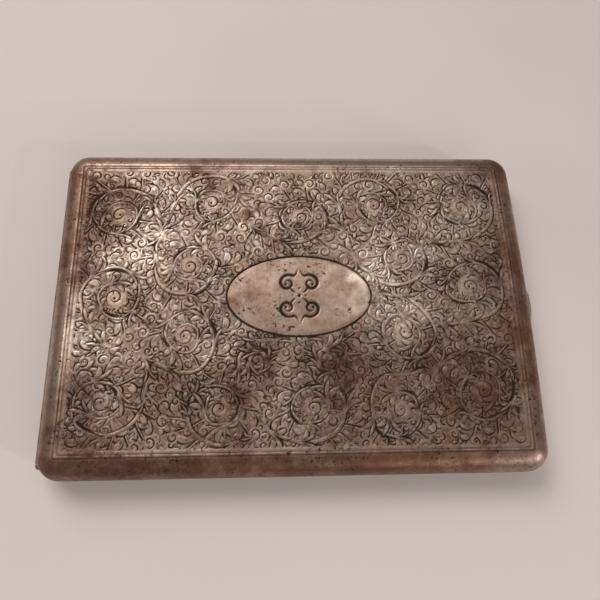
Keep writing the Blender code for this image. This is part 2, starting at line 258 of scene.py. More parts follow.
def scatter(grid, dabs, at_points, shaky):
    """Call at_points(index, closeness, strength, order) for each grid point a dab reaches."""
    x0, y0, pitch, shape = grid
    x, y, radius, strength, order = np.concatenate(dabs, 1)
    if shaky:
        x, y = unsteady(x, y)
    radius = np.maximum(radius, pitch * 0.75)
    column = np.rint((x - x0) / pitch).astype(int)
    row = np.rint((y - y0) / pitch).astype(int)
    rank = np.argsort(radius, kind="stable")
    x, y, radius, strength, order, column, row = (
        v[rank] for v in (x, y, radius, strength, order, column, row)
    )
    reach = int(np.ceil(radius[-1] / pitch))
    for i in range(-reach, reach + 1):
        for j in range(-reach, reach + 1):
            first = np.searchsorted(radius, (hypot(i, j) - 0.75) * pitch)
            if first >= len(radius):
                continue
            c, r = column[first:] + i, row[first:] + j
            off_x = x0 + c * pitch - x[first:]
            off_y = y0 + r * pitch - y[first:]
            away = (off_x**2 + off_y**2) / radius[first:] ** 2
            keep = (away < 1) & (c >= 0) & (c < shape[1]) & (r >= 0) & (r < shape[0])
            index = r[keep] * shape[1] + c[keep]
            at_points(index, 1 - away[keep], strength[first:][keep], order[first:][keep])


def press(grid, sheet, shaky=False):
    """The sheet's raised ground, from 0 to 1, and depth of cut at each grid point."""
    size = grid[3][0] * grid[3][1]
    top, raised, cut = np.zeros(size), np.zeros(size), np.zeros(size)

    def cover(at, near, strength, order):
        np.maximum.at(top, at, order)

    def lift(at, near, strength, order):
        mine = order >= top[at]
        np.maximum.at(raised, at[mine], near[mine])

    def gouge(at, near, strength, order):
        mine = order >= top[at]
        np.maximum.at(cut, at[mine], (near * strength)[mine])

    if sheet.raised:
        scatter(grid, sheet.raised, cover, shaky)
        scatter(grid, sheet.raised, lift, shaky)
    scatter(grid, sheet.lines, gouge, shaky)
    return raised.reshape(grid[3]), cut.reshape(grid[3])


# ------------------------------------------------------------------ the ornament

def stem(sheet, path, widths, lead):
    """A raised ribbon between two cut lines, with dark flicks here and there beside it."""
    run = np.linspace(0, 1, len(path))
    half = np.interp(run, (0, 0.14, 0.45, 1), widths) / 2
    sheet.begin()
    for first, last in ((2, lead // 2 + 5), (lead + 12, lead + 24), (lead + 38, lead + 48)):
        flick = beside(path, -half - 0.26)[first:last]
        sheet.cut(flick, 0.34, 0.10, 0.4)
    sheet.begin()
    sheet.raise_path(path, half)
    sheet.cut(beside(path, half), 0.16, 0.06, 0.5, (0.4, 0.4))
    sheet.cut(beside(path, -half), 0.22, 0.09, 0.3, (0.3, 0.4))
    for first, last in ((0.04, 0.22), (0.27, 0.5), (0.56, 0.72)):
        groove = path[int(len(path) * first) : int(len(path) * last)]
        sheet.cut(beside(groove, -0.12), 0.16, 0.05, 0.35)


def lobe(sheet, base, heading, length, bend, width):
    """A leaflet whose round tip bends over, its outer edge cut bolder than its inner."""
    sheet.begin()
    rib = sweep(base, heading, length, bend, 18, 1.5)
    t = np.linspace(0, 1, len(rib))
    half = width / 2 * np.sin(pi * (0.05 + 0.93 * t**1.6)) ** 0.7
    side = 1 if bend > 0 else -1
    sheet.raise_path(rib, half)
    sheet.cut(beside(rib, -side * half), 0.25, 0.10, 0.65, (0.1, 0.6))
    sheet.cut(beside(rib, side * half), 0.16, 0.07, 0.5, (0.1, 0.8))
    if width > 0.7:
        sheet.cut(beside(rib, side * half * 0.30)[2:11], 0.16, 0.06, 0.35)
        sheet.cut(beside(rib, -side * half * 0.25)[3:13], 0.14, 0.05, 0.4)
    if width > 1.2:
        sheet.cut(beside(rib, side * half * 0.05)[1:9], 0.12, 0.05, 0.4)


def curl(sheet, centre, radius, angle, hand):
    """A small volute with a pierced eye."""
    sheet.begin()
    sheet.raise_dot(centre, radius * 1.1)
    ring = spiral(centre, radius, radius * 0.35, angle, hand * 1.3)
    sheet.cut(ring, 0.24, 0.10, 0.4, (0.35, 0.25))
    if radius > 0.7:
        sheet.dot(centre + radius * 0.1 * direction(angle), radius * 0.16, 0.09)


def frond(sheet, base, heading, centre, radius, hand, root=0.34):
    """A curl at the end of a stalk that leaves base along heading."""
    angle = touching(centre, radius, base, hand, 1.05)
    start = centre + radius * 0.8 * direction(angle)
    stalk = flowing(base, heading, start, angle + hand * pi / 2, 16)
    half = np.interp(np.linspace(0, 1, len(stalk)), (0, 0.3, 1), (0.1, root, 0.24))
    sheet.begin()
    sheet.raise_path(stalk, half)
    sheet.cut(beside(stalk, hand * half), 0.15, 0.07, 0.6, (0.1, 0.9))
    sheet.cut(beside(stalk, -hand * half), 0.25, 0.10, 0.6, (0.1, 0.9))
    curl(sheet, centre, radius, angle, hand)


def fiddlehead(sheet, base, heading, length, bend):
    """A stalk that ends in a curl, with hooked lobes down its outer side."""
    rib = sweep(base, heading, length, bend)
    side = 1 if bend > 0 else -1
    for share, size in ((0.72, 0.40), (0.42, 0.50), (0.10, 0.48)):
        along = heading + bend * share - side * 0.35
        foot = rib[int(share * 23)]
        lobe(sheet, foot, along, length * size, -side * 1.7, length * size * 0.52)
    lobe(sheet, rib[1], heading + side * 0.55, length * 0.4, side * 1.6, length * 0.15)
    radius = 0.20 * length
    tip = rib[-1] + side * radius * np.array((-sin(heading + bend), cos(heading + bend)))
    frond(sheet, base, heading, tip, radius, side, 0.035 * length + 0.06)


def palmette(sheet, base, heading, length, bend):
    """A fan of four lobes from one point, the outer ones shorter and curling away."""
    for share in (-1, 1, -1 / 3, 1 / 3):
        size = length * (1 - 0.35 * abs(share))
        turn = 1.7 * share + 0.5 * bend
        lobe(sheet, base, heading + 0.64 * share, size, turn, size * 0.30)


def bud(sheet, base, heading, centre, radius, hand):
    """A frond whose curl is wrapped in lobes."""
    for turn in (-2.0, -1.2, -0.4, 0.4, 1.2):
        place = heading + hand * turn
        start = centre + radius * 0.35 * direction(place)
        lobe(sheet, start, place + hand * 0.5, radius * 1.0, hand * 1.6, radius * 0.45)
    frond(sheet, base, heading, centre, radius * 0.55, hand)


class Room:
    """How much clear ground is left round each point of the field."""

    STEP = 0.2

    def __init__(self, half_x, half_y, oval):
        self.x = np.arange(-half_x, half_x, self.STEP)
        self.y = np.arange(-half_y, half_y, self.STEP)
        x, y = np.meshgrid(self.x, self.y)
        self.clear = np.minimum(half_x - abs(x), half_y - abs(y)) + 0.4
        self.seeds = []
        if oval:
            (cx, cy), (a, b) = oval
            level = np.hypot((x - cx) / a, (y - cy) / b)
            steep = np.hypot((x - cx) / a**2, (y - cy) / b**2) / (level + 1e-9)
            self.clear = np.minimum(self.clear, (level - 1) / (steep + 1e-9))

    def at(self, point):
        i = int(np.clip(np.searchsorted(self.x, point[0]), 0, len(self.x) - 1))
        j = int(np.clip(np.searchsorted(self.y, point[1]), 0, len(self.y) - 1))
        return self.clear[j, i]

    def take(self, x, y, radius):
        reach = radius + 5.0
        i0, i1 = np.searchsorted(self.x, (x - reach, x + reach))
        j0, j1 = np.searchsorted(self.y, (y - reach, y + reach))
        gx, gy = np.meshgrid(self.x[i0:i1], self.y[j0:j1])
        away = np.hypot(gx - x, gy - y) - radius
        self.clear[j0:j1, i0:i1] = np.minimum(self.clear[j0:j1, i0:i1], away)
        self.seeds.append((x, y, radius))

    def take_path(self, path, radius):
        for x, y in path[::2]:
            self.take(x, y, radius)

    def widest(self):
        j, i = np.unravel_index(np.argmax(self.clear), self.clear.shape)
        return np.array((self.x[i], self.y[j])), self.clear[j, i]

    def nearest(self, point):
        seeds = np.array(self.seeds)
        gap = np.hypot(seeds[:, 0] - point[0], seeds[:, 1] - point[1]) - seeds[:, 2]
        x, y, radius = seeds[np.argmin(gap)]
        away = np.array((x, y)) - point
        return np.array((x, y)) - away / (np.linalg.norm(away) + 1e-9) * radius


def volute_path(centre, radius, hand, root):
    """A scroll's middle line from its root, round and in to the eye; its lead; its angle."""
    centre = np.asarray(centre, float)
    angle = touching(centre, radius, root, hand, 1.02)
    start = centre + radius * direction(angle)
    wound = spiral(centre, radius, radius * EYE, angle, hand * TURNS, 0.05)
    if np.linalg.norm(start - root) < 0.8:
        return wound, 0, angle
    leave = towards(start - root) - hand * 0.45
    lead = flowing(root, leave, start, angle + hand * pi / 2, 20)
    return np.vstack((lead[:-1], wound)), len(lead) - 1, angle


def volute_inside(sheet, room, rng, centre, radius, hand, root):
    """Hooked lobes and curls between a scroll's turns, growing from the inner one."""
    centre = np.asarray(centre, float)
    angle = volute_path(centre, radius, hand, root)[2]
    decay = np.log(EYE) / (2 * pi * TURNS)
    last = 2 * pi * (TURNS - 1)
    turned = 0.1
    while turned < last + 1.0:
        outer = radius * np.exp(decay * turned) - 0.4
        inner = radius * np.exp(decay * min(turned + 2 * pi, 2 * pi * TURNS)) + 0.1
        place = angle + hand * turned
        width = outer - inner
        middle = (outer + inner) / 2
        travel = place + hand * pi / 2
        if width > 1.3 and rng.random() < 0.4:
            size = width * rng.uniform(0.30, 0.46)
            base = centre + inner * direction(place - hand * 0.3)
            spot = centre + (outer - size) * direction(place + hand * 0.15)
            frond(sheet, base, travel - hand * 0.8, spot, size, -hand)
            step = (2.0 * size + 0.1) / middle
        elif width > 1.8 and rng.random() < 0.5:
            base = centre + (inner - 0.2) * direction(place - hand * 0.2)
            fiddlehead(sheet, base, travel - hand * 0.5, width * 1.9, -hand * 1.6)
            step = width * 1.1 / middle
        else:
            base = centre + (inner - 0.3) * direction(place)
            length = width * rng.uniform(1.0, 1.7)
            lean = rng.uniform(0.5, 1.0)
            lobe(sheet, base, travel - hand * lean, length, -hand * 1.7, length * 0.45)
            step = width * rng.uniform(0.45, 0.75) / middle
        room.take(*(centre + middle * direction(place)), width / 2)
        turned += step


def foliage(sheet, room, rng, path, side, every, longest):
    """Fiddleheads along one side of a stem, each as long as the clear ground allows."""
    run = distances(path)
    where = every * 0.4
    while where < run[-1]:
        k = min(int(np.searchsorted(run, where)), len(path) - 1)
        heading = heading_at(path, k) + side * rng.uniform(0.1, 0.35)
        base = path[k]
        for length in np.arange(longest, 1.4, -0.4):
            bend = side * rng.uniform(1.2, 2.1)
            middle = base + length * 0.55 * direction(heading + bend / 4)
            tip = base + length * 0.92 * direction(heading + bend / 2)
            if room.at(middle) > length * 0.15 and room.at(tip) > 0.0:
                if length > 2.4:
                    fiddlehead(sheet, base, heading, length, bend)
                else:
                    lobe(sheet, base, heading, length * 1.2, bend * 1.3, length * 0.5)
                room.take(*middle, length * 0.3)
                room.take(*tip, length * 0.16)
                break
        where += every * rng.uniform(0.8, 1.2)


def wrapping(sheet, rng, path, lead, hand):
    """Leaves that lie over a stem here and there, hiding some of its turn."""
    for k in (2, lead // 2 + 8, lead + 12, lead + 21, lead + 32, lead + 46, lead + 62):
        k += rng.integers(-2, 3) if k > 4 else 0
        heading = heading_at(path, k)
        for side in (-hand, hand):
            foot = beside(path, side * 0.15)[k]
            size = rng.uniform(1.8, 3.8)
            lobe(sheet, foot, heading + side * 0.35, size, side * 1.5, size * 0.32)
            lobe(sheet, foot, heading + side * 0.08, size * 1.3, side * 0.8, size * 0.24)


def fill_gaps(sheet, room, rng):
    """Buds, palmettes, curls and lobes in whatever ground is clear, the widest first."""
    for _ in range(3000):
        point, clear = room.widest()
        if clear < SMALLEST_GAP:
            return
        hand = rng.choice((-1, 1))
        base = room.nearest(point)
        heading = towards(point - base)
        if clear > 1.4 and rng.random() < 0.6:
            radius = min(clear, 2.2) * 0.98
            bud(sheet, base, heading - hand * 0.8, point, radius, hand)
            room.take(*point, radius * 1.1)
        elif clear > 1.2:
            start = base - 0.2 * direction(heading)
            palmette(sheet, start, heading, clear * 2.3, hand * 0.8)
            room.take(*point, clear)
        elif clear > 0.45 and rng.random() < 0.7:
            radius = clear * 0.92
            frond(sheet, base, heading - hand * 0.9, point, radius, hand, 0.26)
            room.take(*point, radius + 0.1)
        else:
            start = base - 0.4 * direction(heading)
            lobe(sheet, start, heading + hand * 0.7, clear * 3.2, -hand * 2.0, clear * 1.6)
            room.take(*point, clear * 1.02)


# The scrolls of the lid: centre, radius, which way it winds, and where its stem starts.
LID_SCROLLS = [
    ((-36, 18.5), 7.3, 1, (-27, 13)),
    ((-17, 21.5), 7.4, -1, (-27, 13)),
    ((1, 18), 6.4, 1, (-9.5, 17)),
    ((17, 21), 7.4, -1, (10, 14)),
    ((35.5, 20.5), 7.8, 1, (27, 13)),
    ((-21, 7), 7.4, 1, (-27, 14)),
    ((-35.5, 0.5), 7.6, -1, (-36, -9.5)),
    ((-21.5, -7.5), 7.2, 1, (-30, -11)),
    ((-36.5, -20.0), 7.6, -1, (-29, -13)),
    ((-15, -21.5), 7.0, -1, (-8, -26)),
    ((3.0, -21.5), 7.0, 1, (-6, -25)),
    ((6, -12), 4.0, -1, (1, -8.5)),
    ((-8, -12.5), 3.8, 1, (0, -9)),
    ((21.5, 8.5), 6.4, 1, (12, 9.5)),
    ((21, -7), 7.4, -1, (15, 0.5)),
    ((35, 2.5), 7.8, 1, (28, -5)),
    ((19, -22), 6.8, 1, (27, -15)),
    ((35.5, -18.5), 8.2, -1, (27, -14)),
]


def back_scrolls():
    """Scrolls of the back: rows of five whose hands alternate, mirrored about the middle."""
    scrolls = []
    for row, y in enumerate((-19.5, 0.0, 19.5)):
        for column, x in enumerate((-34.5, -17.5, 0.0, 17.5, 34.5)):
            hand = 1 if (row + column) % 2 else -1
            root = (x + (8.7 if x <= 0 else -8.7), y - 6.5 * hand)
            scrolls.append(((x, y), 7.6, hand, root))
    return scrolls


def scrollwork(scrolls, oval, seed):
    """The sheet of a plate's scrolls, their leaves and the filling between them."""
    rng = np.random.default_rng(seed)
    room_oval = (oval[0], (oval[1][0] + 0.4, oval[1][1] + 0.4)) if oval else None
    room = Room(PLATE_X - FIELD_MARGIN, PLATE_Y - FIELD_MARGIN, room_oval)
    paths = [volute_path(*scroll) for scroll in scrolls]
    for path, _, _ in paths:
        room.take_path(path, 0.4)
    inner, leafy, sheet = Sheet(), Sheet(), Sheet()
    for scroll in scrolls:
        volute_inside(inner, room, rng, *scroll)
    for (path, lead, _), (_, _, hand, _) in zip(paths, scrolls):
        foliage(leafy, room, rng, path[: lead + 50], -hand, 1.7, 6.0)
        if lead:
            foliage(leafy, room, rng, path[:lead], hand, 1.7, 5.0)
    fill_gaps(sheet, room, rng)
    sheet.lay_over(leafy)
    sheet.lay_over(inner)
    for (path, lead, angle), (centre, radius, hand, _) in zip(paths, scrolls):
        stem(sheet, path, (0.3, 0.85, 0.62, 0.42), lead)
        centre = np.asarray(centre, float)
        curl(sheet, centre, radius * EYE * 1.04, angle + hand * TURNS * 2 * pi, hand)
        wrapping(sheet, rng, path, lead, hand)
    return sheet


def rectangle(half_x, half_y, corner):
    """A closed rectangle with rounded corners."""
    points = []
    for side_x, side_y, first in ((1, -1, -90), (1, 1, 0), (-1, 1, 90), (-1, -1, 180)):
        centre = (side_x * (half_x - corner), side_y * (half_y - corner))
        points += arc(centre, corner, first, first + 90, 7)
    return np.array(points + points[:1])


def ellipse(centre, radii):
    turn = np.linspace(0, 2 * pi, 160)
    return np.stack((centre[0] + radii[0] * np.cos(turn), centre[1] + radii[1] * np.sin(turn)), 1)


def frame_lines():
    """The double line round the field."""
    sheet = Sheet()
    sheet.cut_evenly(rectangle(PLATE_X - 0.35, PLATE_Y - 0.3, 0.5), 0.30, 0.05)
    sheet.cut_evenly(rectangle(PLATE_X - 1.15, PLATE_Y - 1.0, 0.25), 0.14, 0.03)
    return sheet


def cartouche():
    """The oval's outline, and in it a plain ornament of four mirrored scrolls, not a letter."""
    sheet = Sheet()
    middle, radii = np.array(OVAL)
    sheet.cut_evenly(ellipse(middle, radii), 0.42, 0.13)
    sheet.cut_evenly(ellipse(middle, radii - 0.55), 0.10, 0.03)
    scroll = spiral((2.3, 2.6), 1.9, 0.46, radians(118), -1.4)
    rise = flowing((0.0, 6.3), radians(-70), scroll[0], radians(28), 24)
    path = np.vstack((rise[:-1], scroll))
    tendril = sweep((0.5, 0.45), radians(28), 2.9, radians(62), 14)
    for mirror in ((-1, -1), (-1, 1), (1, -1), (1, 1)):
        sheet.cut(middle + mirror * path, 0.70, 0.16, 0.42, (0.10, 0.2))
        sheet.cut(middle + mirror * beside(path, -0.55)[6:-14], 0.14, 0.04, 0.5)
        sheet.dot(middle + mirror * scroll[-1], 0.34, 0.16)
        sheet.cut(middle + mirror * tendril, 0.42, 0.12, 0.35)
    sheet.dot(middle, 0.42, 0.13)
    for side in (-1, 1):
        sheet.dot(middle + (0, 1.5 * side), 0.26, 0.13)
        sheet.dot(middle + (1.3 * side, 0), 0.2, 0.13)
    return sheet


def worn(field):
    """The field with its sharpest detail rubbed down."""
    for axis in (0, 1):
        field = (np.roll(field, 1, axis) + 2 * field + np.roll(field, -1, axis)) / 4
    return field


class Engraving:
    """A plate's relief: height in millimetres, darkness of the ground, and plain panel."""

    def __init__(self, scrolls, oval, seed):
        columns = int(2 * PLATE_X / PITCH) + 1
        rows = int(2 * PLATE_Y / PITCH) + 1
        self.x = np.linspace(-PLATE_X, PLATE_X, columns)
        self.y = np.linspace(-PLATE_Y, PLATE_Y, rows)
        self.grid = (-PLATE_X, -PLATE_Y, self.x[1] - self.x[0], (rows, columns))
        x, y = np.meshgrid(self.x, self.y)
        raised, cut = press(self.grid, scrollwork(scrolls, oval, seed), True)
        field = (abs(x) < PLATE_X - 1.25) & (abs(y) < PLATE_Y - 1.1)
        self.panel = np.zeros_like(x)
        if oval:
            (cx, cy), (a, b) = oval
            level = np.hypot((x - cx) / a, (y - cy) / b)
            self.panel = np.clip((1.0 - level) * 20, 0, 1)
            field &= level > 1.0
        raised = worn(np.where(field, np.clip(2.5 * raised, 0, 1), 1.0))
        cut = np.where(field, cut, 0.0)
        pits = self.stipple(seed)
        plain = press(self.grid, frame_lines())[1]
        if oval:
            plain = np.maximum(plain, press(self.grid, cartouche())[1])
        ground = 1 - raised
        self.height = -(0.04 + 0.3 * pits) * ground - np.maximum(1.2 * cut, plain)
        dark = (0.2 + 6 * pits) * ground
        self.ink = np.maximum(dark, np.clip(np.maximum(cut, 0.8 * plain) / 0.08, 0, 1))

    def stipple(self, seed):
        """The matted ground: close-set punch marks, none quite on its row."""
        rng = np.random.default_rng(seed + 1)
        columns = np.arange(-PLATE_X, PLATE_X, PUNCH_SPACING)
        rows = np.arange(-PLATE_Y, PLATE_Y, PUNCH_SPACING)
        x, y = (grid.ravel() for grid in np.meshgrid(columns, rows))
        jitter = rng.uniform(-0.15, 0.15, (2, x.size))
        radii = rng.uniform(0.14, 0.2, x.size)
        depths = rng.uniform(0.02, 0.07, x.size)
        sheet = Sheet()
        sheet.add(sheet.lines, np.array((x + jitter[0], y + jitter[1], radii, depths)))
        return press(self.grid, sheet)[1]

    def sample(self, field, x, y):
        """The field's value at each point, between the grid's own points."""
        x0, y0, pitch, (rows, columns) = self.grid
        across = np.clip((x - x0) / pitch, 0, columns - 1.001)
        up = np.clip((y - y0) / pitch, 0, rows - 1.001)
        i, j = across.astype(int), up.astype(int)
        u, v = across - i, up - j
        low = field[j, i] * (1 - u) + field[j, i + 1] * u
        high = field[j + 1, i] * (1 - u) + field[j + 1, i + 1] * u
        return low * (1 - v) + high * v


# ------------------------------------------------------------------ the trays

def lattice(half, fine, pitch):
    """Coordinates from -half to half, close together over the first and last stretch."""
    end = half - fine
    middle = np.linspace(-end, end, int(2 * end / pitch) + 1)
    return np.concatenate(
        (np.linspace(-half, -end, 9)[:-1], middle, np.linspace(end, half, 9)[1:])
    )


def round_corners(x, y):
    """Move the corner squares of the flat plate onto its rounded corners."""
    radius = CORNER - EDGE_BAND
    for side_x in (-1, 1):
        for side_y in (-1, 1):
            u = np.maximum((side_x * x - PLATE_X) / radius + 1, 0)
            v = np.maximum((side_y * y - PLATE_Y) / radius + 1, 0)
            inside = (u > 0) & (v > 0)
            new_u = PLATE_X + radius * (u * np.sqrt(1 - v * v / 2) - 1)
            new_v = PLATE_Y + radius * (v * np.sqrt(1 - u * u / 2) - 1)
            x, y = np.where(inside, side_x * new_u, x), np.where(inside, side_y * new_v, y)
    return x, y


def bowed(x, y, share):
    """The x that a point moves to when its share of the thumb side's bow is taken off."""
    return x - share * THUMB_SIDE_BOW * (y / WALL_Y) ** 2


def bow_share(x):
    """How much of the bow a point shares in: all at the thumb's side, none past the middle."""
    return np.clip(x / PLATE_X, 0, 1) ** 2


def outward(x, y):
    """The direction each point of the plate's edge faces."""
    normals = np.zeros((len(x), 2))
    inner_x, inner_y = WALL_X - CORNER, WALL_Y - CORNER
    for side_x in (-1, 1):
        for side_y in (-1, 1):
            off_x = side_x * x - inner_x
            off_y = side_y * y - inner_y
            corner = (off_x > 0) & (off_y > 0)
            normals[corner, 0] = side_x * off_x[corner]
            normals[corner, 1] = side_y * off_y[corner]
    straight = ~normals.any(1)
    ends = straight & (abs(abs(x) - PLATE_X) < 1e-6)
    normals[ends, 0] = np.sign(x[ends])
    sides = straight & ~ends
    normals[sides, 1] = np.sign(y[sides])
    return normals / np.linalg.norm(normals, axis=1)[:, None]


def rim_limits(x, y, is_base):
    """How deep the wall reaches at each point, cut away for the barrel and the thumb piece."""
    limit = np.full(len(x), RIM_DEPTH)
    off = x - HINGE_X
    at_barrel = (abs(off) < SEAT_RADIUS) & (abs(y) < SEAT_HALF_LENGTH)
    reach = SEAM_Z - np.sqrt(np.clip(SEAT_RADIUS**2 - off**2, 0, None))
    limit = np.where(at_barrel, np.minimum(limit, reach), limit)
    if is_base:
        at_slot = (x > 0) & (abs(y) < SLOT_HALF_WIDTH) & (x > PLATE_X)
        limit = np.where(at_slot, SLOT_BOTTOM_Z, limit)
    return limit


def curve_inset(depth, sheet):
    """How far in from the outline a surface lies, by its depth below the flat face."""
    rise = np.clip((depth - sheet) / (CURVE_DEPTH - sheet), 0, 1)
    return EDGE_BAND - (EDGE_BAND - sheet) * np.sqrt(1 - (1 - rise) ** 2)


# Where tarnish lies thicker or thinner than elsewhere on the lid: x, y, reach, amount. Two
# thinner patches are painted highlights.
LID_TARNISH_AND_HIGHLIGHTS = [
    (-32, 10, 6.5, -0.26),
    (-38, -9, 5.5, -0.28),
    # Painted light: tarnish thinned where the light pools on the plate's right middle.
    (18, 5, 7.5, -0.50),
    (22, -3, 4.5, -0.25),
    (-2, 18, 8.0, -0.12),
    (33, 17, 6.0, -0.14),
    (19, -8, 4.5, -0.18),
    (-18, -17, 5.0, -0.10),
    (-47, 27, 11.0, 0.34),
    (-20, 29, 3.5, 0.45),
    (-9.5, 17.5, 2.0, 0.55),
    (-45, 9, 5.5, 0.40),
    (-27, -16, 5.0, 0.22),
    (-40, -29, 8.0, 0.34),
    (8, -14.5, 5.0, 0.42),
    (-7, -11, 3.5, 0.30),
    (26, -13, 7.0, 0.30),
    (37, -21, 11.0, 0.30),
    (45, 8, 8.0, 0.32),
    (46, -7, 8.0, 0.30),
    (45, 29, 9.0, 0.46),
    (13, -22, 6.0, 0.20),
    (-13, -21, 6.0, 0.24),
    (-12, -26, 9.0, 0.10),
    (-42, 20, 8.0, 0.16),
    (-41, -16, 7.0, 0.14),
    (0.5, 0.5, 13.0, 0.12),
    (-11, 1, 3.0, 0.25),
    (10, 4, 2.0, 0.2),
    # Painted highlight: tarnish thinned on the left band where a bright reflected streak lies.
    (-46, -11, 4.5, -0.30),
]
BACK_AGEING = [
    (-38, 20, 12.0, 0.36),
    (30, -24, 14.0, 0.40),
    (40, 22, 9.0, 0.30),
    (-30, -26, 10.0, 0.26),
    (4, 3, 22.0, -0.24),
    (-12, -12, 6.0, 0.20),
]


# Tarnish on the plate's middle, and what the near band and the thumb's band add to it.
TARNISH = 0.46
NEAR_BAND_TARNISH = 0.60
THUMB_BAND_TARNISH = 0.16


def aged(places, x, y):
    """How thick the tarnish is, from about 0 to 1, with uneven borders; two thinning lid patches
    are painted highlights.
    """
    wander_x = x + 1.4 * np.sin(0.9 * y + 0.3 * x) + 0.9 * np.sin(1.7 * y - 1.1 * x)
    wander_y = y + 1.4 * np.sin(0.8 * x - 0.4 * y) + 0.9 * np.sin(1.9 * x + 0.9 * y)
    on_near_band = np.clip((-y - PLATE_Y + 0.4) / 1.5, 0, 1)
    on_thumb_band = np.clip((x - PLATE_X + 0.4) / 1.5, 0, 1)
    total = TARNISH - 0.0010 * x - 0.0018 * y
    total += NEAR_BAND_TARNISH * on_near_band * np.clip((46 - x) / 24, 0.1, 1)
    total += THUMB_BAND_TARNISH * on_thumb_band
    for at_x, at_y, reach, amount in places:
        far = (wander_x - at_x) ** 2 + (wander_y - at_y) ** 2
        total += 1.2 * amount * np.exp(-far / reach**2)
    return np.clip(total, 0, 1)


# The rings of points down the curved edge band, as degrees round its quarter ellipse.
OUTER_RINGS = (2, 4, 6, 8, 10, 12, 15, 19, 24, 29, 34, 40, 46, 52, 58, 64, 70, 76, 82, 86, 90)
INNER_RINGS = (90, 80, 70, 60, 50, 40, 30, 20, 10, 0)
FULL_DEPTH_FROM = 1.0
RIM_ROUNDING = 0.06
OUTSIDE = 0.0

# The band's fine lip and the painted shade line inside it, by how far in they lie.
LIP_HEIGHT = 0.03
LIP_INSET = 3.25
SHADE_LINE_INSET = 3.72


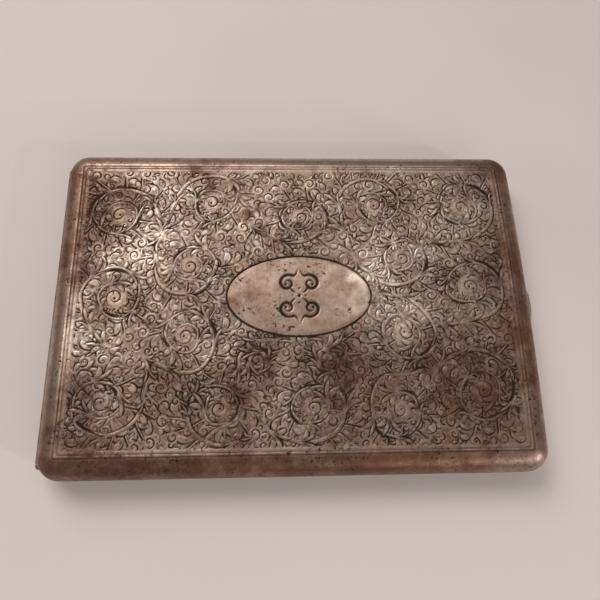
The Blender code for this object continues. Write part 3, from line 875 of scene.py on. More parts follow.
class Tray:
    """A tray's points: the flat plate, rings down the band's outside and up its inside.

    Depth runs from the flat face towards the seam. Each point has a colour that its
    material reads: how dark it is with grime in the engraving and with a painted shade line
    along the band, how tarnished (two thinner lid patches are painted highlights), and how
    plain and smooth.
    """

    def __init__(self, engraving, tarnish_and_highlights, is_base, pitch):
        self.tarnish_and_highlights = tarnish_and_highlights
        self.is_base = is_base
        self.mirror = -1 if is_base else 1
        self.vertices = []
        self.colours = []
        self.lay_plate(engraving, pitch)
        self.lay_band()

    def lay(self, x, y, bow, depth, dirt_and_shade, smooth):
        self.vertices.append(np.stack((bowed(x, y, bow), y, depth), 1))
        age = aged(self.tarnish_and_highlights, self.mirror * x, y)
        self.colours.append(np.stack((dirt_and_shade, age, smooth, np.ones_like(age)), 1))

    def lay_plate(self, engraving, pitch):
        """The flat face with its engraving, and the loop of points round it."""
        corner = CORNER - EDGE_BAND
        columns, rows = lattice(PLATE_X, corner, pitch), lattice(PLATE_Y, corner, pitch)
        x, y = round_corners(*(grid.ravel() for grid in np.meshgrid(columns, rows)))
        height, ink, panel = (
            engraving.sample(field, self.mirror * x, y)
            for field in (engraving.height, engraving.ink, engraving.panel)
        )
        wave = 0.015 * (np.sin(x / 7 + y / 11) + np.sin(x / 13 - y / 6 + 2)) - 0.03
        fade = np.clip(np.minimum(PLATE_X - abs(x), PLATE_Y - abs(y)) / 4, 0, 1)
        self.lay(x, y, bow_share(x), -(height + wave * fade), ink, panel)
        index = np.arange(x.size).reshape(len(rows), len(columns))
        squares = (index[:-1, :-1], index[:-1, 1:], index[1:, 1:], index[1:, :-1])
        self.plate_faces = np.stack(squares, -1).reshape(-1, 4)
        sides = (index[0, :-1], index[:-1, -1], index[-1, :0:-1], index[:0:-1, 0])
        self.loop = np.concatenate(sides)
        self.edge = np.stack((x[self.loop], y[self.loop]))
        self.facing = outward(*self.edge).T
        self.limits = {}
        for sheet in (OUTSIDE, SHEET):
            wall = self.edge + self.facing * (EDGE_BAND - sheet)
            self.limits[sheet] = rim_limits(*wall, self.is_base)

    def lay_ring(self, sheet, nominal, further_in=0.0):
        """A ring at a depth, which is scaled down where the rim is cut away."""
        low = min(FULL_DEPTH_FROM, nominal)
        share = (self.limits[sheet] - FULL_DEPTH_FROM) / (RIM_DEPTH - FULL_DEPTH_FROM)
        depth = low + (nominal - low) * share
        inset = curve_inset(depth, sheet) + further_in
        x, y = self.edge + self.facing * (EDGE_BAND - inset)
        lip, dirt_and_shade = np.zeros((2, len(x)))
        if sheet == OUTSIDE:
            lip = LIP_HEIGHT * np.exp(-(((inset - LIP_INSET) / 0.2) ** 2))
            # Painted shade: a dark line on the band where it meets the plate, with no cut under
            # it.
            dirt_and_shade = 0.6 * np.exp(-(((inset - SHADE_LINE_INSET) / 0.16) ** 2))
        smooth = np.clip((EDGE_BAND - inset) / 0.6, 0, 1)
        self.lay(x, y, bow_share(self.edge[0]), depth - lip, dirt_and_shade, smooth)

    def lay_band(self):
        """The curved band and wall from the plate's loop, over the rim and in again."""
        rim = ((3, 0), (1, 0), (0.3, 0.3), (0, 1))
        for angle in OUTER_RINGS:
            self.lay_ring(OUTSIDE, CURVE_DEPTH * (1 - cos(radians(angle))))
        for short, inwards in rim:
            self.lay_ring(OUTSIDE, RIM_DEPTH - short * RIM_ROUNDING, inwards * RIM_ROUNDING)
        self.outer_rings = len(self.vertices) - 1
        for short, inwards in reversed(rim):
            self.lay_ring(SHEET, RIM_DEPTH - short * RIM_ROUNDING, -inwards * RIM_ROUNDING)
        for angle in INNER_RINGS:
            self.lay_ring(SHEET, SHEET + (CURVE_DEPTH - SHEET) * (1 - cos(radians(angle))))

    def mesh(self):
        """Points, faces, colours and each face's material: 0 outside, 1 inside."""
        count = len(self.loop)
        rings = len(self.vertices) - 1
        after_plate = len(self.vertices[0])
        starts = [self.loop]
        starts += [after_plate + k * count + np.arange(count) for k in range(rings)]
        quads, materials = [self.plate_faces], [np.zeros(len(self.plate_faces), int)]
        for k, (a, b) in enumerate(zip(starts, starts[1:])):
            quads.append(np.stack((a, b, np.roll(b, -1), np.roll(a, -1)), 1))
            materials.append(np.full(count, 0 if k <= self.outer_rings else 1))
        centre = np.full(count, after_plate + rings * count)
        fan = np.stack((starts[-1], centre, np.roll(starts[-1], -1)), 1)
        materials.append(np.full(count, 1))
        points = np.concatenate((*self.vertices, [[0.0, 0.0, SHEET]]))
        colours = np.concatenate((*self.colours, [[0.0, 1.0, 0.0, 1.0]]))
        quads = np.concatenate(quads)
        if self.is_base:
            quads, fan = quads[:, ::-1], fan[:, ::-1]
        else:
            points[:, 2] = TOP_Z - points[:, 2]
        return points, quads.tolist() + fan.tolist(), colours, np.concatenate(materials)


def add_object(name, data):
    """An object in the scene that holds the given data."""
    made = bpy.data.objects.new(name, data)
    bpy.context.scene.collection.objects.link(made)
    return made


def add_mesh(name, points, faces, materials):
    """An object made of points in millimetres."""
    mesh = bpy.data.meshes.new(name)
    mesh.from_pydata((np.asarray(points, float) * MM).tolist(), [], faces)
    mesh.update()
    mesh.shade_smooth()
    for material in materials:
        mesh.materials.append(material)
    return add_object(name, mesh)


def new_piece(name, points, faces, materials, body, slot, *nodes):
    """A mesh that rides on a body and is shown in place of CAD nodes."""
    piece = add_mesh(name, points, faces, materials)
    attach(piece, body)
    if nodes:
        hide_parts(*nodes)
    return piece


def build_tray(name, engraving, tarnish_and_highlights, is_base, pitch, materials):
    """A tray as one mesh, with its engraving stored as a colour for the material."""
    points, faces, colours, numbers = Tray(engraving, tarnish_and_highlights, is_base, pitch).mesh()
    body, node = ("base", "base_shell") if is_base else ("lid", "lid_shell")
    piece = new_piece(name, points, faces, materials, body, "engraved_silver", node)
    attribute = piece.data.color_attributes.new("engraving", "FLOAT_COLOR", "POINT")
    attribute.data.foreach_set("color", colours.astype(np.float32).ravel())
    piece.data.polygons.foreach_set("material_index", numbers.astype(np.int32))


# ------------------------------------------------------------------ small parts

def skin(rings, closed=False):
    """Points and faces that join rings of equal length, with caps unless the rings meet."""
    count = len(rings[0])
    points = [point for ring in rings for point in ring]
    pairs = len(rings) if closed else len(rings) - 1
    faces = []
    for k in range(pairs):
        a, b = k * count, (k + 1) % len(rings) * count
        for i in range(count):
            j = (i + 1) % count
            faces.append((a + i, a + j, b + j, b + i))
    if not closed:
        faces.append(tuple(range(count))[::-1])
        last = (len(rings) - 1) * count
        faces.append(tuple(range(last, last + count)))
    return points, faces


def finished(piece, sharp=40, edge=0.0):
    """Turn the faces outwards, round the edges by edge millimetres, and keep corners crisp."""
    bm = bmesh.new()
    bm.from_mesh(piece.data)
    bmesh.ops.recalc_face_normals(bm, faces=bm.faces)
    if edge:
        corners = [e for e in bm.edges if e.calc_face_angle(0) > radians(25)]
        bmesh.ops.bevel(bm, geom=corners, offset=edge * MM, segments=3, affect="EDGES")
        bmesh.ops.recalc_face_normals(bm, faces=bm.faces)
    bm.to_mesh(piece.data)
    bm.free()
    piece.data.shade_smooth()
    piece.data.set_sharp_from_angle(angle=radians(sharp))
    return piece


def build_piece(name, rings, material, body, slot, node, sharp=40, edge=0.0, closed=False):
    """The skin over rings of points, finished, in place of a CAD node."""
    points, faces = skin(rings, closed)
    piece = new_piece(name, points, faces, (material,), body, slot, node)
    return finished(piece, sharp, edge)


def turned(profile, centre, along, steps=48, radius_at=None):
    """Rings round an axis through centre, from (radius, distance along the axis) pairs."""
    rings = []
    for radius, distance in profile:
        ring = []
        for step in range(steps):
            angle = 2 * pi * step / steps
            reach = radius_at(radius, angle) if radius_at else radius
            over, up = reach * cos(angle), centre[2] + reach * sin(angle)
            if along == "Y":
                ring.append((centre[0] + over, distance, up))
            else:
                ring.append((distance, centre[1] + over, up))
        rings.append(ring)
    return rings


def build_knuckle(node, material, on_lid):
    """A length of the barrel, with the solder that runs from it onto its shell."""
    low, high = (corner.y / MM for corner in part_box(node))
    edge, lip = 0.07, 0.04
    profile = [
        (BARREL_RADIUS - edge, low),
        (BARREL_RADIUS, low + edge),
        (BARREL_RADIUS, high - edge),
        (BARREL_RADIUS - edge, high),
        (BARREL_BORE + lip, high),
        (BARREL_BORE, high - lip),
        (BARREL_BORE, low + lip),
        (BARREL_BORE + lip, low),
    ]
    middle = radians(50 if on_lid else -50)

    def soldered(radius, angle):
        away = abs((angle - middle + pi) % (2 * pi) - pi)
        near = max(0.0, 1 - (away / radians(46)) ** 6)
        return radius + near * SOLDER if radius > BARREL_RADIUS - 0.2 else radius

    rings = turned(profile, HINGE_AXIS, "Y", radius_at=soldered)
    body = "lid" if on_lid else "base"
    build_piece("barrel_" + node, rings, material, body, "engraved_silver", node, closed=True)


def build_hinge(silver, steel):
    """Five knuckles, the pin through them, and the domed plugs that close the barrel."""
    for node in ("base_knuckle_front", "base_knuckle_middle", "base_knuckle_rear"):
        build_knuckle(node, silver, False)
    for node in ("lid_knuckle_front", "lid_knuckle_rear"):
        build_knuckle(node, silver, True)
    low, high = (corner.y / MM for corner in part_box("hinge_pin"))
    ease = 0.08
    profile = [(PIN_RADIUS - ease, low), (PIN_RADIUS, low + 0.1)]
    profile += [(PIN_RADIUS, high - 0.1), (PIN_RADIUS - ease, high)]
    pin = turned(profile, HINGE_AXIS, "Y", 32)
    build_piece("pin", pin, steel, "base", "spring_steel", "hinge_pin")
    for node, side in (("hinge_plug_front", -1), ("hinge_plug_rear", 1)):
        inner, outer = sorted(abs(corner.y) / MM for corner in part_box(node))
        edge = 0.05
        profile = [(BARREL_RADIUS - edge, side * inner), (BARREL_RADIUS, side * (inner + edge))]
        for angle in range(10, 90, 8):
            along = inner + edge + (outer - inner - edge) * sin(radians(angle))
            profile.append((BARREL_RADIUS * cos(radians(angle)), side * along))
        profile.append((0.02, side * outer))
        dome = turned(profile, HINGE_AXIS, "Y")
        build_piece("dome_" + node, dome, silver, "base", "engraved_silver", node)


def rim_line(inset, side):
    """A closing rim's run in plan: the long side, the corner and the thumb piece's side."""
    radius = CORNER - inset
    middle_x, middle_y = WALL_X - CORNER, WALL_Y - CORNER
    points = [(x, WALL_Y - inset) for x in np.linspace(-40.0, middle_x, 12)[:-1]]
    points += arc((middle_x, middle_y), radius, 90, 0, 13)
    points += [(WALL_X - inset, y) for y in np.linspace(middle_y, 5.5, 9)[1:]]
    line = []
    for x, y in points:
        bow = THUMB_SIDE_BOW * (y / WALL_Y) ** 2 if x > middle_x - 1e-6 else 0.0
        line.append((x - bow, side * y))
    return line


def build_rims(silver):
    """The two strips that stand up inside the seam, their top edges eased."""
    section = [(0, 3.5), (0, 5.15), (0.06, 5.29), (0.16, 5.35)]
    section += [(0.26, 5.35), (0.36, 5.27), (0.4, 5.13), (0.4, 3.5)]
    for node, side in (("closing_rim_front", -1), ("closing_rim_rear", 1)):
        lines = [[(*point, z) for point in rim_line(0.68 + inset, side)] for inset, z in section]
        build_piece("strip_" + node, list(zip(*lines)), silver, "base", "worn_silver", node)


def build_thumb(silver):
    """A smooth bar to press, bowed outwards, its edges eased by use."""
    low, high = (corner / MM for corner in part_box("thumb_piece"))
    half_length = high.y
    ends = np.linspace(0.9, 1, 8)
    shares = np.concatenate((-ends[::-1], np.linspace(-0.86, 0.86, 25), ends))
    rings = []
    for share in shares:
        stand_out = THUMB_SHOULDER + THUMB_STAND_OUT * (1 - abs(share) ** 3.5)
        outer = min(WALL_X + stand_out, high.x)
        ease = min(0.15, outer - low.x - 0.2)
        end = 0.12 * max(0.0, (abs(share) - 0.93) / 0.07) ** 2
        bottom, top = low.z + end, high.z - end
        outline = [(low.x, bottom), (outer - ease, bottom)]
        outline += arc((outer - ease, bottom + ease), ease, -75, -15, 5)
        outline += arc((outer - ease, top - ease), ease, 0, 75, 6)
        outline += [(outer - ease, top), (low.x, top)]
        rings.append([(x, half_length * share, z) for x, z in outline])
    build_piece("thumb_bar", rings, silver, "catch", "worn_silver", "thumb_piece", 50)


def build_prism(name, outline, ends, edge, material, body, slot, node):
    """An outline in the XZ plane drawn out along Y, with eased edges."""
    rings = [[(x, y, z) for x, z in outline] for y in ends]
    build_piece(name, rings, material, body, slot, node, 50, edge)


def build_catch(silver, steel):
    """The hook and keeper, the leaf spring with its block and rivets, and the guard plate."""
    inner, outer, nose = SPRING_X - 0.42, SPRING_X, WALL_X - 1.08
    bottom, catch_z, top = SEAM_Z - 1.7, SEAM_Z + 1.6, SEAM_Z + 2.3
    hook = [(inner, bottom), (outer, bottom), (outer, catch_z), (nose, catch_z)]
    hook += [(nose, catch_z + 0.15), (nose - 0.3, top - 0.32), (outer + 0.1, top - 0.02)]
    hook += [(inner + 0.12, top), (inner, top - 0.12)]
    build_prism("hook", hook, (-2, 2), 0.05, steel, "catch", "spring_steel", "catch_hook")

    inner, outer = WALL_X - 1.45, WALL_X - 0.7
    bottom, top = SEAM_Z + 0.75, SEAM_Z + 1.35
    keeper = [(inner + 0.2, bottom), (outer, bottom), (outer, top), (inner, top)]
    keeper.append((inner, bottom + 0.2))
    build_prism("keeper", keeper, (-3, 3), 0.05, silver, "lid", "worn_silver", "keeper_bar")

    face, plate = WALL_X - 3.8, 0.3
    foot, floor, top = face - 1.5, SHEET + 0.06, SEAM_Z + 0.8
    guard = [(foot, floor), (face, floor), (face, top), (face - plate, top)]
    guard += [(face - plate, floor + plate), (foot, floor + plate)]
    ends = (-20, 20)
    build_prism("guard_plate", guard, ends, 0.06, silver, "base", "worn_silver", "catch_guard")

    node = "catch_spring_block"
    low, high = (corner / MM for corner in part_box(node))
    block = [(low.x, low.z), (high.x, low.z), (high.x, high.z), (low.x, high.z)]
    ends = (low.y, high.y)
    build_prism("spring_block", block, ends, 0.04, silver, "base", "worn_silver", node)

    for node in ("catch_spring_rivet_inner", "catch_spring_rivet_outer"):
        low, high = (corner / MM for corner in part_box(node))
        head, shank = (high.y - low.y) / 2, 0.35
        profile = [(0.02, low.x), (0.4 * head, low.x + 0.02), (0.75 * head, low.x + 0.08)]
        profile += [(0.95 * head, low.x + 0.17), (head, SPRING_X - 0.05)]
        profile += [(head - 0.05, SPRING_X), (shank, SPRING_X), (shank, high.x)]
        rivet = turned(profile, (low + high) / 2, "X", 32)
        name = node.replace("catch_spring_", "")
        build_piece(name, rivet, silver, "base", "worn_silver", node)
    build_leaf(steel)


def build_leaf(steel):
    """The leaf spring, a straight leaf between its riveted end and the thumb piece."""
    low, high = (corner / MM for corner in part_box("catch_spring"))
    ease, corner = 0.05, 0.6
    near_end = np.array((0.0, 0.08, 0.2, 0.4, corner))
    between = np.arange(low.y + 1, high.y - 1, 0.4)
    rings = []
    for y in np.concatenate((low.y + near_end, between, high.y - near_end[::-1])):
        from_end = min(y - low.y, high.y - y)
        drop = corner - sqrt(max(0.0, corner**2 - max(0.0, corner - from_end) ** 2))
        bottom, top = low.z + drop, high.z - drop
        ring = [(low.x, y, bottom + ease), (low.x + ease, y, bottom), (high.x - ease, y, bottom)]
        ring += [(high.x, y, bottom + ease), (high.x, y, top - ease), (high.x - ease, y, top)]
        ring += [(low.x + ease, y, top), (low.x, y, top - ease)]
        rings.append(ring)
    leaf = finished(add_mesh("leaf_spring", *skin(rings), (steel,)))
    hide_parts("catch_spring")
    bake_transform(leaf)


def strap_line(step):
    """The strap's middle in the YZ plane, evenly spaced: tail, loop, run, loop and tail."""
    tail_z = BAR_Z + LOOP_RADIUS - 0.6
    half = [
        (25.5, tail_z),
        (BAR_Y - 3.2 * LOOP_RADIUS, tail_z),
        (BAR_Y - 1.9 * LOOP_RADIUS, BAR_Z - 0.35 * LOOP_RADIUS),
        (BAR_Y - 0.9 * LOOP_RADIUS, BAR_Z - 0.88 * LOOP_RADIUS),
    ]
    half += arc((BAR_Y, BAR_Z), LOOP_RADIUS, -90, 90, 19)
    path = np.array(half + [(-y, z) for y, z in reversed(half)])
    even = evenly(path, (), step).T
    for _ in range(2):
        even[1:-1] = (even[:-2] + 2 * even[1:-1] + even[2:]) / 4
    return even


def build_strap(ribbon, thread):
    """Elastic ribbon: cords down its length, finer ribs across it, and sewn tails."""
    line = strap_line(0.22)
    along = np.gradient(line, axis=0)
    along /= np.linalg.norm(along, axis=1)[:, None]
    cord_height, rib_height = 0.035, 0.022
    u = np.linspace(-1, 1, STRAP_CORDS * 5 + 1)
    cord = cord_height * np.abs(np.sin(pi * STRAP_CORDS * (u + 1) / 2)) ** 0.7
    edge = np.sqrt(np.clip(1 - np.clip((abs(u) - 0.965) / 0.035, 0, 1) ** 2, 0, 1))
    flat = STRAP_HALF_THICKNESS - cord_height - rib_height
    x = STRAP_HALF_WIDTH * u
    rings = []
    for k, (y, z) in enumerate(line):
        rib = rib_height * sin(2 * pi * k / 4)
        height = (flat + cord + rib * (abs(u) < 0.93)) * (0.25 + 0.75 * edge)
        off_y, off_z = -along[k][1] * height, along[k][0] * height
        upper = list(zip(x, y + off_y, z + off_z))
        lower = list(zip(x, y - off_y, z - off_z))
        rings.append(upper + lower[::-1])
    build_piece("elastic", rings, ribbon, "base", "elastic_ribbon", "strap", 60)

    points, faces = [], []
    for y, x, z in product((-26.3, -27.1, 26.3, 27.1), np.linspace(-3.2, 3.2, 8), (5.84, 4.76)):
        more, quads = stitch((x, y, z))
        faces += [tuple(i + len(points) for i in face) for face in quads]
        points += more
    finished(new_piece("strap_stitches", points, faces, (thread,), "base", "elastic_ribbon"))


def stitch(centre):
    """A short round thread lying across the strap."""
    rings = []
    for share in np.linspace(-1, 1, 7):
        size = 0.075 * sqrt(max(0.04, 1 - share**4))
        x = centre[0] + 0.3 * share
        ring = []
        for step in range(8):
            angle = pi * step / 4
            ring.append((x, centre[1] + size * cos(angle), centre[2] + size * sin(angle)))
        rings.append(ring)
    return skin(rings)


def build_staples(silver):
    """The two wire bars that hold the strap, each swelling into solder at the wall."""
    half, bend = 5.6, 0.8
    wall = WALL_Y - 1.14
    plan = [(-half, wall, 1.35), (-half, wall - 0.12, 1.12), (-half, wall - 0.3, 1.0)]
    plan += [(x, y, 1.0) for x, y in arc((bend - half, BAR_Y + bend), bend, 180, 270, 10)]
    plan += [(x, BAR_Y, 1.0) for x in (-3.0, 0.0)]
    plan += [(-x, y, size) for x, y, size in reversed(plan[:-1])]
    for node, side in (("strap_staple_front", -1), ("strap_staple_rear", 1)):
        rings = []
        for k, (x, y, size) in enumerate(plan):
            before, after = plan[max(k - 1, 0)], plan[min(k + 1, len(plan) - 1)]
            dx, dy = after[0] - before[0], after[1] - before[1]
            length = hypot(dx, dy)
            ring = []
            for angle in np.linspace(0, 2 * pi, 21)[:-1]:
                off = WIRE_RADIUS * size * cos(angle)
                up = WIRE_RADIUS * min(size, 1.0) * sin(angle)
                ring.append((x - dy / length * off, side * (y + dx / length * off), BAR_Z + up))
            rings.append(ring)
        name = node.replace("strap_", "wire_")
        build_piece(name, rings, silver, "base", "worn_silver", node)


# ------------------------------------------------------------------ finishes

def tint(red, green, blue):
    """A linear colour from screen values of 0 to 255."""
    values = []
    for value in (red, green, blue):
        share = value / 255
        values.append(share / 12.92 if share <= 0.04045 else ((share + 0.055) / 1.055) ** 2.4)
    return (*values, 1.0)


class Finish:
    """A material being wired up. Its coordinates are in millimetres."""

    def __init__(self, name):
        self.material = bpy.data.materials.new(name)
        self.material.use_nodes = True
        self.tree = self.material.node_tree
        self.shader = self.tree.nodes["Principled BSDF"]
        place = self.node("ShaderNodeTexCoord").outputs["Object"]
        scale = self.node("ShaderNodeVectorMath", operation="SCALE")
        self.feed(scale.inputs[0], place)
        scale.inputs["Scale"].default_value = 1 / MM
        self.place = scale.outputs[0]
        split = self.node("ShaderNodeSeparateXYZ")
        self.feed(split.inputs[0], self.place)
        _, self.y, self.z = split.outputs

    def node(self, kind, **settings):
        made = self.tree.nodes.new(kind)
        for key, value in settings.items():
            setattr(made, key, value)
        return made

    def feed(self, socket, value):
        if isinstance(value, bpy.types.NodeSocket):
            self.tree.links.new(value, socket)
        else:
            socket.default_value = value

    def set(self, **inputs):
        """Feed the shader's inputs, named with underscores."""
        for key, value in inputs.items():
            self.feed(self.shader.inputs[key.replace("_", " ")], value)

    def maths(self, operation, a, b=0.0, c=0.0, clamp=False):
        made = self.node("ShaderNodeMath", operation=operation, use_clamp=clamp)
        for socket, value in zip(made.inputs, (a, b, c)):
            self.feed(socket, value)
        return made.outputs[0]

    def add(self, *values):
        total = values[0]
        for value in values[1:]:
            total = self.maths("ADD", total, value)
        return total

    def times(self, a, b):
        return self.maths("MULTIPLY", a, b)

    def span(self, value, low, high, to_low=0.0, to_high=1.0):
        """The value, taken from one range to another and kept inside it."""
        made = self.node("ShaderNodeMapRange")
        for socket, number in zip(made.inputs, (value, low, high, to_low, to_high)):
            self.feed(socket, number)
        return made.outputs[0]

    def noise(self, size, detail=3.0, roughness=0.55, stretch=None, turn=0.0, warp=0.0):
        """Noise whose lumps are about size millimetres across."""
        where = self.place
        if stretch or turn:
            mapping = self.node("ShaderNodeMapping")
            self.feed(mapping.inputs["Vector"], where)
            mapping.inputs["Rotation"].default_value = (0, 0, turn)
            mapping.inputs["Scale"].default_value = stretch or (1, 1, 1)
            where = mapping.outputs[0]
        made = self.node("ShaderNodeTexNoise")
        self.feed(made.inputs["Vector"], where)
        made.inputs["Scale"].default_value = 1 / size
        made.inputs["Detail"].default_value = detail
        made.inputs["Roughness"].default_value = roughness
        made.inputs["Distortion"].default_value = warp
        return made.outputs["Fac"]

    def mix(self, share, a, b):
        made = self.node("ShaderNodeMix", data_type="RGBA")
        self.feed(made.inputs[0], share)
        self.feed(made.inputs[6], a)
        self.feed(made.inputs[7], b)
        return made.outputs[2]

    def attribute(self, name):
        made = self.node("ShaderNodeAttribute", attribute_name=name)
        split = self.node("ShaderNodeSeparateColor")
        self.feed(split.inputs[0], made.outputs["Color"])
        return split.outputs

    def bump(self, height, distance, under=None):
        """A normal from a height whose full range is distance millimetres."""
        made = self.node("ShaderNodeBump")
        made.inputs["Distance"].default_value = distance * MM
        self.feed(made.inputs["Height"], height)
        if under is not None:
            self.feed(made.inputs["Normal"], under)
        return made.outputs[0]

    def scratches(self, turn, size):
        """Hairlines in one direction, 1 on a scratch and 0 off it."""
        lines = self.noise(size, 2.0, 0.5, (9.0, 0.22, 1.0), turn)
        gaps = self.span(self.noise(3.0, 1.0), 0.5, 0.62)
        return self.times(self.span(lines, 0.66, 0.72), gaps)

    def hairlines(self, *directions):
        """Scratches in two directions, given as turn and size."""
        return self.maths("MAXIMUM", *(self.scratches(*each) for each in directions))


BRIGHT_SILVER = tint(224, 205, 189)
BROWN_TARNISH = tint(124, 86, 68)
RED_TARNISH = tint(112, 74, 59)
GREY_TARNISH = tint(126, 102, 86)
TAN_BLOOM = tint(176, 146, 118)
DIRT_AND_SHADE_BROWN = tint(38, 25, 18)
GILT = tint(176, 134, 74)
GILT_WORN = tint(172, 146, 112)


def engraved_silver(name, has_engraving):
    """Tarnished silver, brown in its hollows, with grime in the cuts and wear on high ground; its
    tray colour also carries a painted shade line and painted highlights.
    """
    f = Finish(name)
    age = 0.45
    if has_engraving:
        # The colour's first channel is grime in the cuts and ground plus a painted shade line on
        # the band; its second is tarnish, thinned in two lid patches as painted highlights.
        ink, age, panel = f.attribute("engraving")[:3]
    clouds = f.span(f.noise(13.0, 4.0, 0.6, warp=0.6), 0.3, 0.7, -0.18, 0.18)
    blots = f.span(f.noise(3.6, 4.0, 0.62), 0.3, 0.7, -0.24, 0.24)
    specks = f.span(f.noise(0.8, 3.0, 0.6), 0.3, 0.7, -0.14, 0.14)
    calm = 1.0
    if has_engraving:
        calm = f.span(panel, 0.0, 1.0, 1.0, 0.7)
    patches = f.times(f.add(clouds, blots, specks), calm)
    tarnish = f.maths("ADD", age, patches, clamp=True)
    brown = f.mix(f.span(f.noise(9.0, 2.0), 0.4, 0.6), BROWN_TARNISH, RED_TARNISH)
    brown = f.mix(f.span(f.noise(11.0, 3.0, warp=0.5), 0.54, 0.66, 0.0, 0.3), brown, GREY_TARNISH)
    colour = f.mix(f.maths("POWER", tarnish, 0.72), BRIGHT_SILVER, brown)
    bloom = f.times(f.span(f.noise(6.5, 3.0, warp=0.4), 0.54, 0.68), 0.4)
    colour = f.mix(bloom, colour, TAN_BLOOM)
    hair = f.hairlines((0.35, 0.9), (-1.1, 1.1))
    pits = f.times(f.span(f.noise(0.7, 3.0), 0.57, 0.65), f.span(f.noise(5.0, 2.0), 0.46, 0.56))
    pits = f.times(pits, f.span(f.z, TOP_Z - 0.5, TOP_Z - 0.1, 0.35, 1.0))
    crust = f.span(f.noise(2.6, 4.0, 0.65), 0.52, 0.66, 0.0, 0.75)
    if has_engraving:
        kept = f.add(f.span(f.noise(6.0, 4.0, 0.6), 0.35, 0.65, 0.75, 1.6), f.times(age, 0.4))
        clots = f.times(f.times(crust, tarnish), f.maths("SUBTRACT", 1.0, f.times(panel, 0.6)))
        grit = f.span(f.noise(0.55, 3.0, 0.7), 0.52, 0.68)
        grit = f.times(grit, f.add(0.3, f.times(tarnish, 0.7)))
        grit = f.times(grit, f.span(f.noise(5.5, 3.0), 0.38, 0.6, 0.1, 1.1))
        dirt_and_shade = f.maths("MAXIMUM", f.times(ink, kept), f.maths("MAXIMUM", clots, grit))
        dirt_and_shade = f.maths("MULTIPLY", dirt_and_shade, 0.96, clamp=True)
    else:
        dirt_and_shade = f.times(crust, 0.7)
    # Grime, and on the band a painted shade line, darken the colour towards dark brown.
    colour = f.mix(dirt_and_shade, colour, DIRT_AND_SHADE_BROWN)
    colour = f.mix(f.times(pits, 0.9), colour, DIRT_AND_SHADE_BROWN)
    colour = f.mix(f.times(hair, 0.3), colour, BRIGHT_SILVER)
    rough = f.add(0.33, f.times(tarnish, 0.14), f.times(dirt_and_shade, 0.25), f.times(f.noise(1.3), 0.1))
    if has_engraving:
        rough = f.maths("SUBTRACT", rough, f.times(panel, 0.12))
    normal = f.bump(f.noise(9.0, 1.0), 0.12)
    normal = f.bump(f.times(f.noise(0.7, 4.0, 0.7), f.add(0.25, tarnish)), 0.045, normal)
    normal = f.bump(f.add(f.times(hair, -0.4), f.times(pits, -1.0)), 0.02, normal)
    f.set(Base_Color=colour, Roughness=rough, Normal=normal)
    f.set(Metallic=f.span(f.add(tarnish, dirt_and_shade), 0.0, 1.4, 0.97, 0.5))
    return f.material


def plain_silver():
    """Handled silver: brighter than the engraved sheet, with tarnish left in patches."""
    f = Finish("worn_silver")
    patches = f.span(f.noise(5.0, 4.0, 0.6), 0.35, 0.7, 0.1, 0.7)
    specks = f.span(f.noise(0.9, 3.0), 0.3, 0.7, -0.12, 0.12)
    tarnish = f.maths("ADD", patches, specks, clamp=True)
    colour = f.mix(tarnish, BRIGHT_SILVER, BROWN_TARNISH)
    hair = f.hairlines((0.35, 0.7), (-1.1, 0.8))
    dirt_and_shade = f.times(f.span(f.noise(1.6, 4.0, 0.65), 0.55, 0.7), 0.6)
    colour = f.mix(dirt_and_shade, colour, DIRT_AND_SHADE_BROWN)
    colour = f.mix(f.times(hair, 0.35), colour, BRIGHT_SILVER)
    normal = f.bump(f.noise(2.5, 2.0), 0.03)
    normal = f.bump(f.noise(0.3, 2.0), 0.008, normal)
    f.set(Base_Color=colour, Metallic=f.span(tarnish, 0.0, 1.0, 0.97, 0.75))
    f.set(Roughness=f.add(0.28, f.times(tarnish, 0.2), f.times(dirt_and_shade, 0.2)), Normal=normal)
    return f.material


def spring_steel():
    """Dull grey steel, drawn lengthwise, with a little brown rust."""
    f = Finish("spring_steel")
    drawn = f.noise(0.5, 3.0, 0.6, (3.0, 0.15, 3.0))
    colour = f.mix(f.span(drawn, 0.3, 0.7), tint(104, 99, 96), tint(142, 136, 131))
    rust = f.times(f.span(f.noise(1.8, 4.0, 0.65), 0.56, 0.72), 0.7)
    colour = f.mix(rust, colour, tint(96, 58, 38))
    f.set(Base_Color=colour, Metallic=f.span(rust, 0.0, 1.0, 0.95, 0.3))
    f.set(Roughness=f.add(0.36, f.times(drawn, 0.15), f.times(rust, 0.3)))
    f.set(Normal=f.bump(drawn, 0.012))
    return f.material


def cloth(name, light, dark):
    """Faded woven thread, with painted shade between its strands."""
    f = Finish(name)
    strands = f.noise(0.28, 3.0, 0.6, (1.0, 0.35, 1.0))
    faded = f.span(f.noise(9.0, 3.0), 0.35, 0.65)
    # Painted shade: the colour is darkest where the strands' bump is lowest, between them.
    colour = f.mix(f.span(strands, 0.35, 0.65), dark, light)
    colour = f.mix(f.times(faded, 0.3), colour, tint(176, 150, 110))
    grime = f.times(f.span(f.noise(4.0, 4.0, 0.6), 0.52, 0.7), 0.5)
    colour = f.mix(grime, colour, tint(74, 54, 34))
    f.set(Base_Color=colour, Roughness=f.add(0.72, f.times(strands, 0.2)))
    f.set(Sheen_Weight=0.25, Normal=f.bump(strands, 0.03))
    return f.material


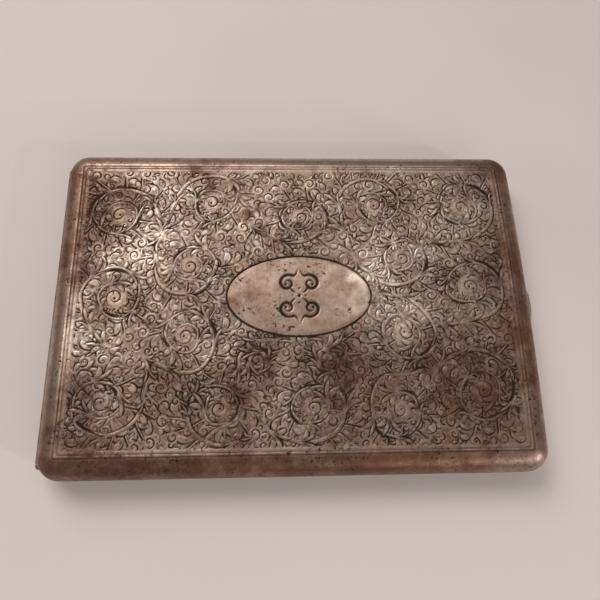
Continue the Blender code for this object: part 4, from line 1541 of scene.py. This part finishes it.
def gilt():
    """A thin gilt wash, rubbed through to silver in places."""
    f = Finish("gilt_interior")
    worn = f.span(f.noise(7.0, 5.0, 0.65), 0.45, 0.65)
    colour = f.mix(f.times(worn, 0.6), GILT, GILT_WORN)
    spots = f.span(f.noise(1.6, 3.0), 0.66, 0.78)
    colour = f.mix(f.times(spots, 0.6), colour, BROWN_TARNISH)
    hair = f.hairlines((1.45, 0.8), (0.2, 1.2))
    colour = f.mix(f.times(hair, 0.4), colour, GILT_WORN)
    normal = f.bump(f.noise(8.0, 1.0), 0.1)
    normal = f.bump(f.noise(0.35, 2.0), 0.008, normal)
    rough = f.add(0.42, f.times(worn, 0.14), f.times(spots, 0.2))
    f.set(Base_Color=colour, Roughness=rough, Metallic=0.95, Normal=f.bump(hair, 0.01, normal))
    return f.material


# ------------------------------------------------------------------ build

SILVER = engraved_silver("engraved_silver_plate", True)
PLAIN_SILVER = engraved_silver("tarnished_silver", False)
GILT_WASH = gilt()

lid_engraving = Engraving(LID_SCROLLS, OVAL, 11)
build_tray("lid_case", lid_engraving, LID_TARNISH_AND_HIGHLIGHTS, False, 0.15, (SILVER, GILT_WASH))
back_engraving = Engraving(back_scrolls(), None, 23)
build_tray("base_case", back_engraving, BACK_AGEING, True, 0.2, (SILVER, GILT_WASH))

WORN_SILVER = plain_silver()
STEEL_GREY = spring_steel()
OLD_GOLD = cloth("elastic_ribbon", tint(150, 120, 70), tint(98, 74, 40))
THREAD = cloth("sewing_thread", tint(186, 164, 122), tint(120, 98, 64))
build_hinge(PLAIN_SILVER, STEEL_GREY)
build_rims(WORN_SILVER)
build_thumb(WORN_SILVER)
build_catch(WORN_SILVER, STEEL_GREY)
build_strap(OLD_GOLD, THREAD)
build_staples(WORN_SILVER)


# ------------------------------------------------------------------ stage, lights and camera

def build_floor():
    """A pale surface under the case, painted lighter towards the near side and made to glow a
    little: both are painted light.
    """
    f = Finish("pale_surface")
    cloud = f.span(f.noise(60.0, 2.0), 0.3, 0.7)
    colour = f.mix(cloud, tint(208, 197, 195), tint(214, 203, 201))
    # Painted light: the floor is painted lighter towards the near side, as if lit more there.
    colour = f.mix(f.span(f.y, 20.0, -70.0), colour, tint(227, 216, 212))
    # Painted light: the faint emission lightens the floor and the shadows cast on it.
    f.set(Base_Color=colour, Roughness=0.6, Emission_Color=colour, Emission_Strength=0.08)
    half, z = 1200, -0.04
    corners = [(-half, -half, z), (half, -half, z), (half, half, z), (-half, half, z)]
    add_mesh("floor", corners, [(0, 1, 2, 3)], (f.material,))


# Each light's name, place, target, size and power.
LIGHTS = (
    ("key", (-0.28, 0.42, 0.55), (0, 0, 0), (0.5, 0.4), 3.4),
    ("window", (0.17, 0.31, 0.72), (0.015, 0, 0), (0.3, 0.25), 0.36),
    ("fill", (0.32, -0.62, 0.40), (0, -0.05, 0), (0.6, 0.3), 1.1),
    ("lamp_high", (0.78, -0.46, 0.42), (0.04, -0.03, 0), (0.07, 0.025), 1.3),
    ("lamp_low", (0.80, -0.50, 0.22), (0.04, -0.03, 0), (0.07, 0.025), 1.3),
)
WARM = (1.0, 0.94, 0.90)
ROOM_COLOUR = (1.0, 0.955, 0.93, 1.0)
HORIZON = 0.07
OVERHEAD = 0.25


def area_light(name, location, target, size, power):
    light = bpy.data.lights.new(name, "AREA")
    light.shape = "RECTANGLE"
    light.size, light.size_y = size
    light.energy = power
    light.color = WARM
    lamp = add_object(name, light)
    lamp.location = location
    lamp.rotation_mode = "QUATERNION"
    lamp.rotation_quaternion = (Vector(target) - Vector(location)).to_track_quat("-Z", "Y")


def build_lights():
    """Soft overhead light, mostly from the far left, in a room that is darker low down."""
    world = bpy.data.worlds.new("room")
    bpy.context.scene.world = world
    world.use_nodes = True
    tree = world.node_tree
    where = tree.nodes.new("ShaderNodeTexCoord")
    split = tree.nodes.new("ShaderNodeSeparateXYZ")
    ramp = tree.nodes.new("ShaderNodeMapRange")
    tree.links.new(where.outputs["Generated"], split.inputs[0])
    tree.links.new(split.outputs[2], ramp.inputs[0])
    for socket, value in zip(ramp.inputs[1:], (0.1, 0.95, HORIZON, OVERHEAD)):
        socket.default_value = value
    background = tree.nodes["Background"]
    background.inputs["Color"].default_value = ROOM_COLOUR
    tree.links.new(ramp.outputs[0], background.inputs["Strength"])
    for light in LIGHTS:
        area_light(*light)
    bpy.context.scene.view_settings.view_transform = "Standard"


CAMERA_AT = Vector((-4.745, -36.294, 116.819)) * MM
CAMERA_TARGET = Vector((0.655, -0.255, 8.8)) * MM
CAMERA_ROLL = radians(7.71)


def build_camera():
    """The photograph's viewpoint: high over the near side, and turned a little."""
    data = bpy.data.cameras.new("camera")
    data.lens = 34.5
    data.sensor_width = 36.0
    data.clip_start, data.clip_end = 0.005, 10.0
    camera = add_object("camera", data)
    forward = (CAMERA_TARGET - CAMERA_AT).normalized()
    level = forward.cross(Vector((0, 0, 1))).normalized()
    above = level.cross(forward)
    right = level * cos(CAMERA_ROLL) + above * sin(CAMERA_ROLL)
    up = right.cross(forward)
    axes = Matrix((right, up, -forward)).transposed()
    camera.matrix_world = Matrix.Translation(CAMERA_AT) @ axes.to_4x4()
    bpy.context.scene.camera = camera


build_floor()
build_lights()
build_camera()
